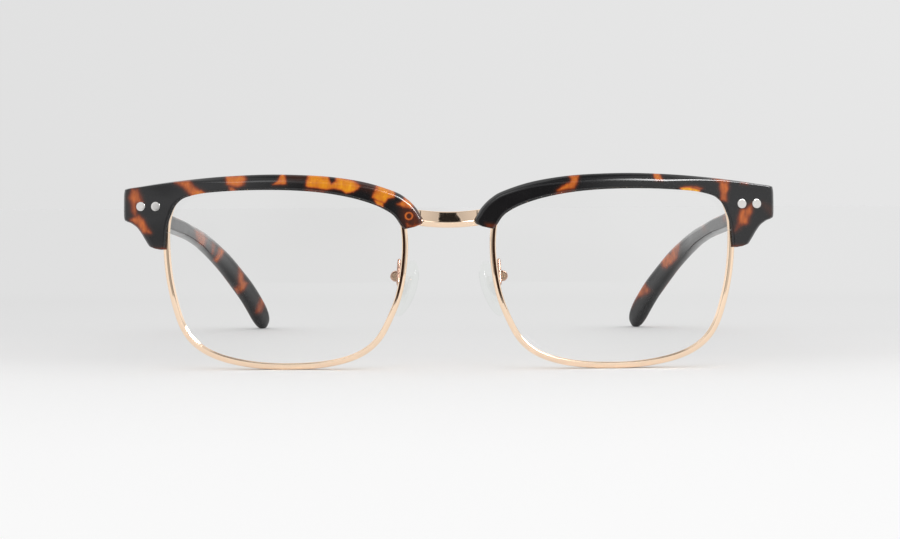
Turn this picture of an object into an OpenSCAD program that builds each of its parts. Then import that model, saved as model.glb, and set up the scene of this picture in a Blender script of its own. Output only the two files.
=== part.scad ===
// Browline reading glasses: a full metal eyewire round each lens, a bridge brazed between them,
// moulded brows that sit over the top of the eyewires, and folding temples on five-barrel hinges.
// X is across the face, Y runs back along the temples, Z is up. All sizes are in millimetres.
// The right-hand half, as seen from the front, is modelled, and the left one is its mirror image.

/* [Lenses and eyewires] */
// Width of the opening inside one eyewire
lens_w = 51.4; // [50:0.1:53]
// Height of the opening inside one eyewire
lens_h = 38.2; // [37:0.1:40]
// Gap between the two openings, over the nose
nose_gap = 20.6; // [19.6:0.1:22]
// Radius of the front curve that the eyewires follow
front_radius = 170; // [150:5:220]
// Thickness of the lens at its centre
lens_centre = 2.4; // [2.2:0.1:2.8]
// Radius of the steeper front face that gives the reading power
power_radius = 113; // [105:1:160]
// Thickness of the eyewire as seen from the front
wire_t = 1.35; // [1.2:0.05:1.5]
// Depth of the eyewire from front to back
wire_d = 2.2; // [2:0.1:2.4]
// Depth of the groove that holds the lens
groove = 0.75; // [0.6:0.05:0.8]

/* [Brows] */
// Thickness of the brow in front of the eyewire
brow_wall = 1.2; // [1:0.1:1.5]
// Thickness of the brow behind the front face, above the eyewire
brow_d = 4.1; // [3.8:0.1:4.6]
// Width of the bevel along the upper front edge
bevel_w = 1.4; // [0.9:0.1:1.6]
// Depth of that bevel
bevel_d = 1; // [0.6:0.1:1.2]
// Radius of the two rivets at each end
rivet_r = 1; // [0.9:0.05:1.1]
// Distance between them
rivet_gap = 3.4; // [3.2:0.1:3.6]

/* [Bridge] */
// Height of the bridge
bridge_h = 3.5; // [3.2:0.1:4]
// How much lower its middle is than its ends
bridge_dip = 1; // [0.4:0.1:1.2]
// How far its middle is arched forward
bridge_arch = 0.8; // [0.3:0.1:1]

/* [Hinges] */
// Outer radius of the barrels
barrel_r = 1.3; // [1.2:0.05:1.35]
// Height of the five barrels together
barrel_h = 6; // [5.5:0.1:6.4]
// Radius of the hinge screw
hinge_screw_r = 0.6; // [0.5:0.05:0.7]
// Radial clearance round the hinge screw
hinge_fit = 0.03; // [0.02:0.01:0.05]

/* [Temples] */
// Distance from the back of the brow to the end of the temple tip
temple_reach = 130; // [120:1:138]
// Height of the temple where it meets the brow
temple_h_front = 6.8; // [6.4:0.1:7.2]
// Height at its slimmest, under halfway back
temple_h_slim = 3.4; // [3.2:0.1:4.2]
// Height of the broad tip
temple_h_tip = 6.5; // [5.6:0.1:7]
// Thickness at the front
temple_t_front = 4.2; // [4:0.1:4.6]
// Thickness behind the ear
temple_t_tip = 3.2; // [3:0.1:3.6]
// How far the straight part leans inwards
toe_in = 3; // [1:0.5:4]
// How far the tip curls inwards beyond that
tip_curl = 10; // [7:0.5:11]
// Radius of the wire inside the temple
core_r = 0.65; // [0.5:0.05:0.7]

/* [Nose pads] */
// Length of the pad
pad_l = 13; // [12:0.5:14]
// Width of the pad
pad_w = 7; // [6:0.5:8]
// Thickness of the pad
pad_t = 2.6; // [2.2:0.1:3]
// Radius of the wire of the pad arm
arm_r = 0.5; // [0.4:0.05:0.6]

/* [Hidden] */
$fn = 48;

// Clearances
seat = 0.05;
rebate_fit = 0.12;
bore_fit = 0.06;

// Front surface: a sphere whose centre lies behind each eye, so that the lenses wrap slightly
eye_x = (nose_gap + lens_w) / 2;
eye_z = wire_t + lens_h / 2;
wrap_x = eye_x - 12;
function sag(x, z) = front_radius - sqrt(pow(front_radius, 2) - pow(x - wrap_x, 2) - pow(z - eye_z, 2));

// Smooth curves through control rows
function row(p, i, closed) = closed ? p[(i + len(p)) % len(p)] : p[min(max(i, 0), len(p) - 1)];
function blend(a, b, c, d, t) =
    0.5 * (2 * b + (c - a) * t + (2 * a - 5 * b + 4 * c - d) * t * t + (3 * b - a - 3 * c + d) * t * t * t);
function curve(p, s, closed = false) =
    let(i = floor(s), t = s - i)
    blend(row(p, i - 1, closed), row(p, i, closed), row(p, i + 1, closed), row(p, i + 2, closed), t);
function ease(t) = let(u = min(max(t, 0), 1)) u * u * (3 - 2 * u);
function unit(v) = v / norm(v);

// Eyewire opening, as offsets from the middle of a 51.4 x 38.2 lens, from the outer side over the top
outline = [[25.68, 8.07], [25.3, 12.97], [23.6, 16.77], [19.5, 18.32], [13, 18.92], [5, 19.12],
    [-3, 18.97], [-10, 18.37], [-16.5, 17.07], [-22, 15.17], [-24.9, 12.57], [-25.7, 8.57],
    [-25.55, 3.07], [-24.5, -3.43], [-22.4, -9.03], [-19.6, -13.83], [-15.2, -16.93], [-8.5, -18.63],
    [-0.2, -19.12], [7.5, -18.68], [14.5, -17.13], [19.3, -14.53], [22.2, -10.73], [24, -5.13],
    [25.2, 1.07]];
outline_steps = 4;
kx = lens_w / 51.4;
kz = lens_h / 38.2;
function opening(s) = let(q = curve(outline, s, true)) [eye_x + q[0] * kx, eye_z + q[1] * kz];
function outward(s) = let(d = unit(opening(s + 0.05) - opening(s - 0.05))) [d[1], -d[0]];
function around(s, off) = opening(s) + outward(s) * off;
function at_depth(p, b) = [p[0], sag(p[0], p[1]) + b, p[1]];

// The eyewire is split behind the outer end of the brow, where the closing block joins it
split_at = 0.3;
split_gap = 0.3;
turns = len(outline);
half_split = split_gap / 2 / norm(opening(split_at + 0.5) - opening(split_at - 0.5));
wire_places = concat(
    [split_at + half_split],
    [for (i = [1 : turns * outline_steps - 1]) split_at + i / outline_steps],
    [split_at + turns - half_split]);

// A skin over a list of rings, whose first point is the one that the end faces fan out from
module skin(rings, closed = false) {
    n = len(rings);
    m = len(rings[0]);
    sides = [for (i = [0 : n - (closed ? 1 : 2)], j = [0 : m - 1], k = [0, 1])
        let(a = i * m, b = ((i + 1) % n) * m, j2 = (j + 1) % m)
        k == 0 ? [a + j, a + j2, b + j2] : [a + j, b + j2, b + j]];
    first = [for (j = [1 : m - 2]) [0, j + 1, j]];
    last = [for (j = [1 : m - 2]) [(n - 1) * m, (n - 1) * m + j, (n - 1) * m + j + 1]];
    polyhedron([for (r = rings) each r], closed ? sides : concat(sides, first, last), convexity = 8);
}

// Eyewire section: distance outwards from the opening, and depth. It starts at the groove's root
half_d = wire_d / 2;
groove_w = 0.55;
wire_section = [[groove, 0], [0, groove_w], [0, half_d - 0.15], [0.15, half_d],
    [wire_t - 0.3, half_d], [wire_t, half_d - 0.35], [wire_t, 0.35 - half_d],
    [wire_t - 0.3, -half_d], [0.15, -half_d], [0, 0.15 - half_d], [0, -groove_w]];

module rim() {
    skin([for (s = wire_places) [for (q = wire_section) at_depth(around(s, q[0]), q[1])]]);
}

// Lens: a bevelled edge from the eyewire's own curve, cut by a steep front face and a flatter back
lens_back = 0.9;
lens_dir = unit([eye_x - wrap_x, -sqrt(pow(front_radius, 2) - pow(eye_x - wrap_x, 2)), 0]);
lens_origin = [wrap_x, front_radius, eye_z];
lens_front = front_radius + lens_centre - lens_back;
lens_places = [for (i = [0 : turns * outline_steps - 1]) split_at + i / outline_steps];
lens_edge = [[-rebate_fit, -9], [-rebate_fit, -0.5], [groove - 0.13, 0], [-rebate_fit, 0.5],
    [-rebate_fit, 12]];

module lens_blank() {
    n = len(lens_places);
    m = len(lens_edge);
    rim_points = [for (q = lens_edge, s = lens_places)
        let(p = around(s, q[0])) abs(q[1]) > 5 ? [p[0], q[1], p[1]] : at_depth(p, q[1])];
    walls = [for (r = [0 : m - 2], i = [0 : n - 1], k = [0, 1])
        let(a = r * n + i, b = r * n + (i + 1) % n)
        k == 0 ? [a, b, b + n] : [a, b + n, a + n]];
    front_cap = [for (i = [0 : n - 1]) [n * m, (i + 1) % n, i]];
    back_cap = [for (i = [0 : n - 1]) [n * m + 1, n * (m - 1) + i, n * (m - 1) + (i + 1) % n]];
    middle = [[eye_x, lens_edge[0][1], eye_z], [eye_x, lens_edge[m - 1][1], eye_z]];
    polyhedron(concat(rim_points, middle), concat(walls, front_cap, back_cap), convexity = 4);
}

module lens() {
    intersection() {
        lens_blank();
        difference() {
            translate(lens_origin + lens_dir * (lens_front - power_radius)) sphere(power_radius, $fn = 200);
            translate(lens_origin) sphere(front_radius - lens_back, $fn = 200);
        }
    }
}

// Brow stations from the foot of the outer lobe to the nose: place along the eyewire, how far
// the lip covers the wire, the outer edge, extra width of the rebate and depth kept behind it.
// The bevel is widest over the middle of the brow and narrows towards both ends
brow_rows = [
    [-0.29, -0.75, 29.5, 6.45, 0.6, 1], [-0.2, -0.7, 30.15, 6.75, 1.4, 1],
    [0.1, -0.5, 31.15, 8.25, 1.9, 1], [0.35, -0.4, 32.0, 9.6, 1.9, 1],
    [0.6, -0.25, 33.0, 10.85, 1.9, 1], [0.85, -0.1, 34.3, 11.75, 1.5, 1],
    [1.05, 0, 35.4, 12.2, 0.8, 1], [1.2, 0.1, 35.95, 12.9, 0.3, 1],
    [1.5, 0.2, 36.05, 16, 0, 1], [1.8, 0.3, 35.95, 18.75, 0, 1],
    [2, 0.35, 35.3, 19.45, 0, 1], [2.3, 0.3, 32, 19.95, 0, 1],
    [2.7, 0.3, 27.5, 20.6, 0, 1], [3.2, 0.25, 21.5, 21.3, 0, 1],
    [4, 0.2, 14, 21.95, 0, 1], [5, 0.15, 5, 22.35, 0, 1],
    [6, 0.2, -3, 22.25, 0, 1], [7, 0.3, -10.5, 21.75, 0, 1],
    [8, 0.35, -18, 20.5, 0, 0.9], [9, 0.5, -24.2, 18.5, 0, 0.45],
    [9.5, 0.4, -26.9, 16.9, 0, 0.1], [10, 0.25, -28.8, 15, 0, 0],
    [10.25, 0.1, -29.8, 13.4, 0, 0], [10.4, -0.1, -30.4, 12.3, 0, 0],
    [10.52, -0.35, -30.1, 11.4, 0, 0], [10.6, -0.6, -29.2, 11, 0, 0]];
bevel_shares = [[-30, 0.35], [-20, 0.6], [-5, 1], [12, 1], [19, 0.75], [24, 0.55], [36, 0.45]];
brow_steps = 3;
end_face = 9.2 + (front_radius - 170) * -0.045;
front_off = -half_d - 0.1 - brow_wall;
function brow_back(x, z) =
    let(s = ease((x - eye_x - 16 * kx) / (9 * kx)))
    (1 - s) * (sag(x, z) + front_off + brow_d) + s * end_face;
function flat(p, y) = [p[0], y, p[1]];
function brow_ring(i) =
    let(
        r = curve(brow_rows, i / brow_steps),
        wall = -half_d - 0.1,
        lip = around(r[0], -r[1]),
        root = around(r[0], wire_t + rebate_fit + max(r[4], 0)),
        edge = [eye_x + r[2] * kx, eye_z + r[3] * kz],
        u = unit(edge - root),
        keep = min(max(r[5], 0), 1),
        bevel = bevel_w * lookup(r[2], bevel_shares),
        out1 = edge - u * bevel,
        out2 = edge - u * bevel * 0.3,
        back = function(p) keep * brow_back(p[0], p[1]) + (1 - keep) * (sag(p[0], p[1]) + wall + 0.6)
    )
    [at_depth(root, wall), at_depth(lip, wall), at_depth(lip, front_off + 0.5),
        at_depth(lip + unit(edge - lip) * 0.45, front_off), at_depth(out1, front_off),
        at_depth(out2, front_off + bevel_d * 0.6), at_depth(edge, front_off + bevel_d),
        flat(edge, back(edge) - 0.35), flat(edge - u * 0.45, back(edge - u * 0.45)),
        flat(root + u * 0.3, back(root + u * 0.3)), flat(root, back(root) - 0.25)];
// From the nose outwards, so that the skin's faces look out
brow_rings = [for (i = [(len(brow_rows) - 1) * brow_steps : -1 : 0]) brow_ring(i)];

// Places at the outer end: the rivets, the hinge plate and the pivot
end_x = eye_x + 36 * kx;
rivet_x = eye_x + 30.25 * kx;
rivet_z = eye_z + 15.5 * kz;
rivet_places = [for (s = [-1, 1]) [rivet_x + s * rivet_gap / 2, rivet_z]];
plate_t = 1;
plate_h = barrel_h + 0.2;
plate_x0 = rivet_x - rivet_gap / 2 - 1.25;
plate_x1 = rivet_x + rivet_gap / 2 + 1.85;
temple_x = end_x - 0.4 - temple_t_front / 2;
pivot_x = temple_x - temple_t_front / 2 - barrel_r - seat;
pivot_y = end_face + barrel_r + 0.15;

// Screws that hold the brow to the metal: one by the nose and one below the hinge
screw_r = 0.6;
screw_head_r = 1;
back_slope = 0.13;
nose_screw = [eye_x - 27.35 * kx, eye_z + 13.1 * kz];
lobe_screw = [eye_x + 30.7 * kx, eye_z + 10.3 * kz];
lug_t = 0.8;

module along_y(p, y0, y1, r) {
    translate([p[0], y0, p[1]]) rotate([-90, 0, 0]) cylinder(r = r, h = y1 - y0);
}

function face_y(p) = sag(p[0], p[1]) + front_off;
function bridge_back(p) = sag(p[0], p[1]) + bridge_front + bridge_d;

module brow() {
    difference() {
        skin(brow_rings);
        for (p = rivet_places) along_y(p, 0, end_face + 1, rivet_r + bore_fit);
        translate([plate_x0 - seat, end_face - plate_t, rivet_z - plate_h / 2 - seat])
            cube([plate_x1 - plate_x0 + 2 * seat, plate_t + 3, plate_h + 2 * seat]);
        along_y(nose_screw, face_y(nose_screw) + 0.5, 12, screw_r + bore_fit);
        along_y(lobe_screw, face_y(lobe_screw) + 2, end_face + 1, screw_r + bore_fit);
    }
}

module rivets() {
    for (p = rivet_places) {
        along_y(p, face_y(p) - 0.1, end_face - plate_t, rivet_r);
        along_y(p, end_face - plate_t, end_face - 0.1, rivet_r * 0.7);
    }
}

module brow_screw(p, tip, seat_y) {
    along_y(p, tip, seat_y, screw_r);
    difference() {
        along_y(p, seat_y, seat_y + 0.6, screw_head_r);
        translate([p[0] - 2, seat_y + 0.35, p[1] - 0.15]) cube([4, 1, 0.3]);
    }
}

module brow_screws() {
    brow_screw(nose_screw, face_y(nose_screw) + 0.6, bridge_back(nose_screw) + seat + screw_head_r * back_slope);
    brow_screw(lobe_screw, face_y(lobe_screw) + 2.1, end_face + seat + lug_t + 0.02);
}

// Bridge: a ridged bar with a flat lug behind each brow, brazed to the eyewires
bridge_front = -half_d - 0.1 + 0.6 + 0.05;
bridge_d = 2;
bridge_z = eye_z + 13.1 * kz;
bridge_top = bridge_h * 0.56;
bridge_low = bridge_h - bridge_top;
function nose_side(z) = lookup(z, [for (s = [13 : -0.25 : 9.75]) let(p = around(s, wire_t)) [p[1], p[0]]]);
// The front has an upper and a lower facet, which run flat into the lugs
function bridge_ring(f) =
    let(
        x = f * nose_side(bridge_z),
        c = bridge_z - bridge_dip * (1 - f * f),
        ridge = -bridge_arch * max(0, 1 - pow(f / 0.57, 2)),
        k = 1 - ease((abs(f) - 0.66) / 0.14),
        top = bridge_top - 0.6 * (1 - k),
        section = [[bridge_low * -0.26, ridge], [-bridge_low, ridge + 0.6 * k], [-bridge_low, bridge_d - 0.3],
            [0.4 - bridge_low, bridge_d], [top - 0.4, bridge_d], [top, bridge_d - 0.3], [top, ridge + 1.2 * k]]
    )
    [for (q = section)
        let(
            z = c + q[0],
            w = abs(f) > 0.999 ? sign(f) * (nose_side(z) - 0.1) : x
        )
        [w, sag(max(abs(w), 4), z) + bridge_front + q[1], z]];

module bridge() {
    difference() {
        skin([for (f = [1, 0.93, 0.8, 0.73, 0.66, 0.57, 0.45, 0.3, 0.15, 0,
            -0.15, -0.3, -0.45, -0.57, -0.66, -0.73, -0.8, -0.93, -1]) bridge_ring(f)]);
        for (s = [-1, 1]) along_y([s * nose_screw[0], nose_screw[1]], -2, 9, screw_r + bore_fit);
    }
}

// Closing block: a half on each side of the split, drawn together by an upright screw
block_r = 0.85;
block_h = 1.7;
block_screw_r = 0.4;
block_p = around(split_at, wire_t + block_r + 0.05 + seat);
block_y = sag(block_p[0], block_p[1]);

module block_half() {
    cylinder(r = block_r, h = block_h);
    translate([-block_r - 0.05, -0.7, 0]) cube([block_r, 1.4, block_h]);
}

module closing_block_upper() {
    post_y = end_face + seat - block_y;
    lug_x = lobe_screw[0] - block_p[0];
    lug_z = lobe_screw[1] - block_p[1];
    translate([block_p[0], block_y, block_p[1] + 0.1])
        difference() {
            union() {
                block_half();
                translate([-0.75, 0, 0]) cube([1.5, post_y + lug_t, block_h]);
                translate([-0.75, post_y, lug_z - 1.5]) cube([lug_x + 0.75, lug_t, 2.8]);
                translate([lug_x, post_y, lug_z - 0.1]) rotate([-90, 0, 0]) cylinder(r = 1.4, h = lug_t);
            }
            translate([0, 0, -1]) cylinder(r = block_screw_r + bore_fit, h = block_h + 0.5);
            translate([lug_x, post_y - 1, lug_z - 0.1]) rotate([-90, 0, 0])
                cylinder(r = screw_r + bore_fit, h = 4);
        }
}

module closing_block_lower() {
    translate([block_p[0], block_y, block_p[1] - 0.1 - block_h])
        difference() {
            block_half();
            translate([0, 0, -1]) cylinder(r = block_screw_r + bore_fit, h = block_h + 2);
        }
}

module closing_screw() {
    translate([block_p[0], block_y, block_p[1] - 0.1 - block_h]) {
        translate([0, 0, -0.3]) cylinder(r = block_screw_r, h = 2 * block_h - 0.2);
        difference() {
            translate([0, 0, -0.55]) cylinder(r = 0.7, h = 0.53);
            translate([-1, -0.12, -0.75]) cube([2, 0.24, 0.4]);
        }
    }
}

// Hinge: barrels one, three and five are on the brow's plate, and two and four on the temple's leaf
barrels = 5;
barrel_step = barrel_h / barrels;
barrel_gap = 0.04;
barrel_z = rivet_z - barrel_h / 2;
leaf_t = 1;
leaf_l = 9;
leaf_x = pivot_x + barrel_r + seat;

module barrel(i) {
    translate([pivot_x, pivot_y, barrel_z + i * barrel_step + barrel_gap / 2])
        cylinder(r = barrel_r, h = barrel_step - barrel_gap);
}

module hinge_bore() {
    translate([pivot_x, pivot_y, barrel_z - 1]) cylinder(r = hinge_screw_r + hinge_fit, h = barrel_h + 2);
}

module brow_hinge() {
    difference() {
        union() {
            for (i = [0, 2, 4]) {
                barrel(i);
                translate([pivot_x - barrel_r, end_face - 0.5, barrel_z + i * barrel_step + barrel_gap / 2])
                    cube([barrel_r, pivot_y - end_face + 0.5, barrel_step - barrel_gap]);
            }
            translate([plate_x0, end_face - plate_t, rivet_z - plate_h / 2])
                cube([plate_x1 - plate_x0, plate_t - 0.05, plate_h]);
        }
        hinge_bore();
        for (p = rivet_places) along_y(p, 0, end_face + 0.2, rivet_r * 0.7 + bore_fit);
    }
}

module temple_hinge() {
    difference() {
        union() {
            for (i = [1, 3]) {
                barrel(i);
                translate([pivot_x, pivot_y, barrel_z + i * barrel_step + barrel_gap / 2])
                    cube([barrel_r + seat + 0.5, barrel_r, barrel_step - barrel_gap]);
            }
            translate([leaf_x, pivot_y - 0.2, rivet_z - 1.9]) cube([leaf_t, leaf_l * 0.45, 3.8]);
            translate([leaf_x, pivot_y - 0.2, rivet_z - 1.9]) cube([leaf_t, leaf_l, 2.6]);
        }
        hinge_bore();
    }
}

module hinge_screw() {
    translate([pivot_x, pivot_y, 0]) {
        translate([0, 0, barrel_z - 0.2]) cylinder(r = hinge_screw_r, h = barrel_h + 0.4);
        difference() {
            translate([0, 0, barrel_z + barrel_h + 0.02]) cylinder(r = 1.05, h = 0.5);
            translate([-1.5, -0.15, barrel_z + barrel_h + 0.3]) cube([3, 0.3, 1]);
        }
    }
}

// Temple: nearly straight to the ear, then bent down and curled in to a broad rounded tip.
// Each row is a distance back and a fall, both for a reach of 130, then how much of the height
// at the front and of the height at the tip it has, above the slimmest height
temple_rows = [[0, 0, 1, 0], [12, 1.5, 0.47, 0], [28, 3.4, 0.03, 0], [45, 4.9, 0, 0],
    [57, 6, 0, 0.05], [69, 7.3, 0, 0.18], [81, 8.9, 0, 0.35], [93, 11.4, 0, 0.52],
    [105, 15.5, 0, 0.74], [117, 21.9, 0, 0.92], [124, 27.2, 0, 0.98], [130, 33.2, 0, 1]];
temple_n = len(temple_rows) - 1;
temple_y0 = end_face + seat;
bend_y = 81;
function temple_t(y) = temple_t_front + (temple_t_tip - temple_t_front) * ease(y / 52);
function temple_h(r) = temple_h_slim + (temple_h_front - temple_h_slim) * max(r[2], 0)
    + (temple_h_tip - temple_h_slim) * max(r[3], 0);
function temple_centre(s, fall) =
    let(
        r = curve(temple_rows, s),
        g = max(r[0] - bend_y, 0) / (130 - bend_y),
        inner = temple_x - temple_t_front / 2 - toe_in * r[0] / bend_y - tip_curl * g * g
    )
    [inner + temple_t(r[0]) / 2, temple_y0 + r[0] * temple_reach / 130, rivet_z - r[1] * fall];
function temple_ring(s, k, fall) =
    let(
        c = temple_centre(s, fall),
        d = unit(temple_centre(s + 0.02, fall) - temple_centre(s - 0.02, fall)),
        across = s < 0.001 ? [1, 0, 0] : unit([d[1], -d[0], 0]),
        up = s < 0.001 ? [0, 0, 1] : cross(across, d),
        r = curve(temple_rows, s),
        h = temple_h(r) / 2 * k,
        t = temple_t(r[0]) / 2 * (0.3 + 0.7 * k),
        e = min(0.34 * h, 0.8)
    )
    [for (q = [[1, -1], [1, 1], [-1, 1], [-1, -1]], m = [0 : 2])
        let(
            turn = q[0] * q[1] > 0 ? 2 - m : m,
            in_x = [1, 0.29, 0][turn] * e,
            in_z = [0, 0.29, 1][turn] * e
        )
        c + across * q[0] * (t - in_x) + up * q[1] * (h - in_z)];
temple_places = concat([for (s = [0 : 0.5 : 6]) [s, 1]], [for (s = [6.333 : 0.3333 : 10]) [s, 1]],
    [[10.35, 0.97], [10.6, 0.88], [10.82, 0.66], [10.97, 0.3]]);
function temple_skin(fall) = [for (p = temple_places) temple_ring(p[0], p[1], fall)];
// The fall is set so that the tip just reaches the table
function lowest(fall) = min([for (r = temple_skin(fall), v = r) v[2]]);
fall_guess = 1 + lowest(1) / 33;
temple_fall = fall_guess + lowest(fall_guess) / 33;
temple_rings = temple_skin(temple_fall);

// The wire runs straight, alongside the hinge leaf and then along the middle of the straight part
core_a = temple_centre(0.4, temple_fall) + [0.1, 0, 0];
core_b = temple_centre(5.5, temple_fall);
core_len = norm(core_b - core_a);
core_turn = [-acos((core_b - core_a)[2] / core_len), 0,
    -atan2((core_b - core_a)[0], (core_b - core_a)[1])];

module core_bar(r, grow) {
    translate(core_a) rotate([0, 0, core_turn[2]]) rotate([core_turn[0], 0, 0])
        translate([0, 0, -grow]) cylinder(r = r, h = core_len + 2 * grow);
}

module temple() {
    difference() {
        skin(temple_rings);
        translate([leaf_x - 2, pivot_y - 2.5, rivet_z - 1.9 - seat])
            cube([leaf_t + 2 + seat, leaf_l * 0.45 + 2.3 + seat, 3.8 + 2 * seat]);
        translate([leaf_x - 2, pivot_y - 2.5, rivet_z - 1.9 - seat])
            cube([leaf_t + 2 + seat, leaf_l + 2.3 + seat, 2.6 + 2 * seat]);
        core_bar(core_r + bore_fit, 0.05);
    }
}

module temple_core() {
    core_bar(core_r, 0);
}

// Nose pads: a hooked wire from the eyewire to a small box, in which the pad's tab turns on a screw
pad_pivot = [eye_x - 24.15 * kx, 7.2, eye_z - 0.25];
pad_tilt = 17;
pad_splay = 27;
box_r = 1.35;
box_d = 2.4;
tab_t = 0.8;
tab_slot = 0.9;
pad_screw_r = 0.4;
arm_foot = around(12.9, 0.55);
arm_path = [[arm_foot[0], sag(arm_foot[0], arm_foot[1]) + half_d + 0.01, arm_foot[1]],
    [arm_foot[0] + 0.1, 3.1, arm_foot[1] + 0.9], [arm_foot[0] + 0.45, 4.5, arm_foot[1] + 1.4],
    [pad_pivot[0] - 0.8, 5.8, pad_pivot[2] + 3.4], [pad_pivot[0] - 0.9, 6.4, pad_pivot[2] + 2.2],
    [pad_pivot[0] - 0.7, 6.5, pad_pivot[2] + 0.9]];
function arm_ring(s) =
    let(
        c = curve(arm_path, s),
        d = s < 0.01 ? [0, 1, 0] : unit(curve(arm_path, s + 0.02) - curve(arm_path, s - 0.02)),
        a = unit(cross([1, 0, 0], d)),
        b = cross(a, d)
    )
    [for (i = [0 : 9]) c + arm_r * (a * cos(36 * i) + b * sin(36 * i))];

module pad_arm() {
    difference() {
        union() {
            skin([for (i = [0 : 15]) arm_ring(i / 3)]);
            along_y([pad_pivot[0], pad_pivot[2]], pad_pivot[1] - box_d / 2, pad_pivot[1] + box_d / 2, box_r);
        }
        translate([pad_pivot[0] - 3, pad_pivot[1] - tab_slot / 2, pad_pivot[2] - 3])
            cube([3 + box_r - 0.4, tab_slot, 3 + box_r]);
        translate([pad_pivot[0] - 3, pad_pivot[1] - tab_slot / 2, pad_pivot[2] - 3])
            cube([3, tab_slot, 3 + box_r + 0.1]);
        along_y([pad_pivot[0], pad_pivot[2]], 3, 12, pad_screw_r + bore_fit);
    }
}

module pad_screw() {
    p = [pad_pivot[0], pad_pivot[2]];
    y0 = pad_pivot[1] - box_d / 2;
    along_y(p, y0 - 0.02, y0 + box_d + 0.3, pad_screw_r);
    difference() {
        along_y(p, y0 - 0.42, y0 - 0.02, 0.85);
        translate([p[0] - 1, y0 - 0.6, p[1] - 0.12]) cube([2, 0.4, 0.24]);
    }
}

// The pad lies across the nose: its long axis leans out downwards, and its face looks in and back
module on_pad() {
    translate(pad_pivot) rotate([0, -pad_tilt, 0]) rotate([0, 0, -pad_splay]) children();
}

pad_off = 2.5;
pad_drop = 2.1;
neck_l = (pad_off + 0.25) / cos(pad_splay);
insert_w = 4.2;
insert_l = 6;
insert_t = 0.7;
function pad_loop(k) = [for (i = [0 : 19])
    let(
        a = i * 18,
        w = pad_w / 2 * (1 + 0.14 * sin(a))
    )
    [k * w * cos(a) * (sin(a) < 0 ? 1 : 0.94), k * pad_l / 2 * sin(a) * (0.9 + 0.1 * k)]];
pad_layers = [[0.86, 0], [0.98, 0.25], [1, 0.75], [0.93, 1.45], [0.76, 2.05], [0.48, 2.45], [0.18, 2.6]];

module nose_pad() {
    on_pad() translate([-pad_off, 0, -pad_drop]) difference() {
        skin([for (l = pad_layers) [for (q = pad_loop(l[0])) [-l[1] * pad_t / 2.6, q[0], q[1]]]]);
        translate([-insert_t - seat, -insert_w / 2 - seat, -insert_l / 2 - seat])
            cube([insert_t + 0.3, insert_w + 2 * seat, insert_l + 2 * seat]);
    }
}

module pad_insert() {
    difference() {
        union() {
            on_pad() translate([-pad_off - insert_t, -insert_w / 2, -pad_drop - insert_l / 2])
                cube([insert_t, insert_w, insert_l]);
            translate(pad_pivot) rotate([0, -pad_tilt, 0])
                translate([-neck_l, -tab_t / 2, -0.8]) cube([neck_l, tab_t, 1.6]);
            along_y([pad_pivot[0], pad_pivot[2]], pad_pivot[1] - tab_t / 2, pad_pivot[1] + tab_t / 2, 0.9);
        }
        along_y([pad_pivot[0], pad_pivot[2]], 3, 12, pad_screw_r + bore_fit);
    }
}

// The origin is under the middle of the whole, on the table
front_y = min([for (r = brow_rings, v = r) v[1]]);
back_y = max([for (r = temple_rings, v = r) v[1]]);
module placed() {
    translate([0, -(front_y + back_y) / 2, 0]) children();
}
module placed_left() {
    placed() mirror([1, 0, 0]) children();
}

gold = [0.93, 0.76, 0.62];
shell = [0.2, 0.12, 0.08];
steel = [0.78, 0.78, 0.8];
clear = [0.8, 0.88, 0.92];

module bridge_bar() {
    placed() color(gold) bridge();
}
module rim_left() {
    placed_left() color(gold) rim();
}
module rim_right() {
    placed() color(gold) rim();
}
module lens_left() {
    placed_left() color(clear) lens();
}
module lens_right() {
    placed() color(clear) lens();
}
module brow_left() {
    placed_left() color(shell) brow();
}
module brow_right() {
    placed() color(shell) brow();
}
module rivets_left() {
    placed_left() color(steel) rivets();
}
module rivets_right() {
    placed() color(steel) rivets();
}
module brow_screws_left() {
    placed_left() color(steel) brow_screws();
}
module brow_screws_right() {
    placed() color(steel) brow_screws();
}
module closing_block_upper_left() {
    placed_left() color(gold) closing_block_upper();
}
module closing_block_upper_right() {
    placed() color(gold) closing_block_upper();
}
module closing_block_lower_left() {
    placed_left() color(gold) closing_block_lower();
}
module closing_block_lower_right() {
    placed() color(gold) closing_block_lower();
}
module closing_screw_left() {
    placed_left() color(steel) closing_screw();
}
module closing_screw_right() {
    placed() color(steel) closing_screw();
}
module brow_hinge_left() {
    placed_left() color(steel) brow_hinge();
}
module brow_hinge_right() {
    placed() color(steel) brow_hinge();
}
module hinge_screw_left() {
    placed_left() color(steel) hinge_screw();
}
module hinge_screw_right() {
    placed() color(steel) hinge_screw();
}
module temple_hinge_left() {
    placed_left() color(steel) temple_hinge();
}
module temple_hinge_right() {
    placed() color(steel) temple_hinge();
}
module temple_left() {
    placed_left() color(shell) temple();
}
module temple_right() {
    placed() color(shell) temple();
}
module temple_core_left() {
    placed_left() color(steel) temple_core();
}
module temple_core_right() {
    placed() color(steel) temple_core();
}
module pad_arm_left() {
    placed_left() color(gold) pad_arm();
}
module pad_arm_right() {
    placed() color(gold) pad_arm();
}
module nose_pad_left() {
    placed_left() color(clear) nose_pad();
}
module nose_pad_right() {
    placed() color(clear) nose_pad();
}
module pad_insert_left() {
    placed_left() color(steel) pad_insert();
}
module pad_insert_right() {
    placed() color(steel) pad_insert();
}
module pad_screw_left() {
    placed_left() color(steel) pad_screw();
}
module pad_screw_right() {
    placed() color(steel) pad_screw();
}

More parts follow.
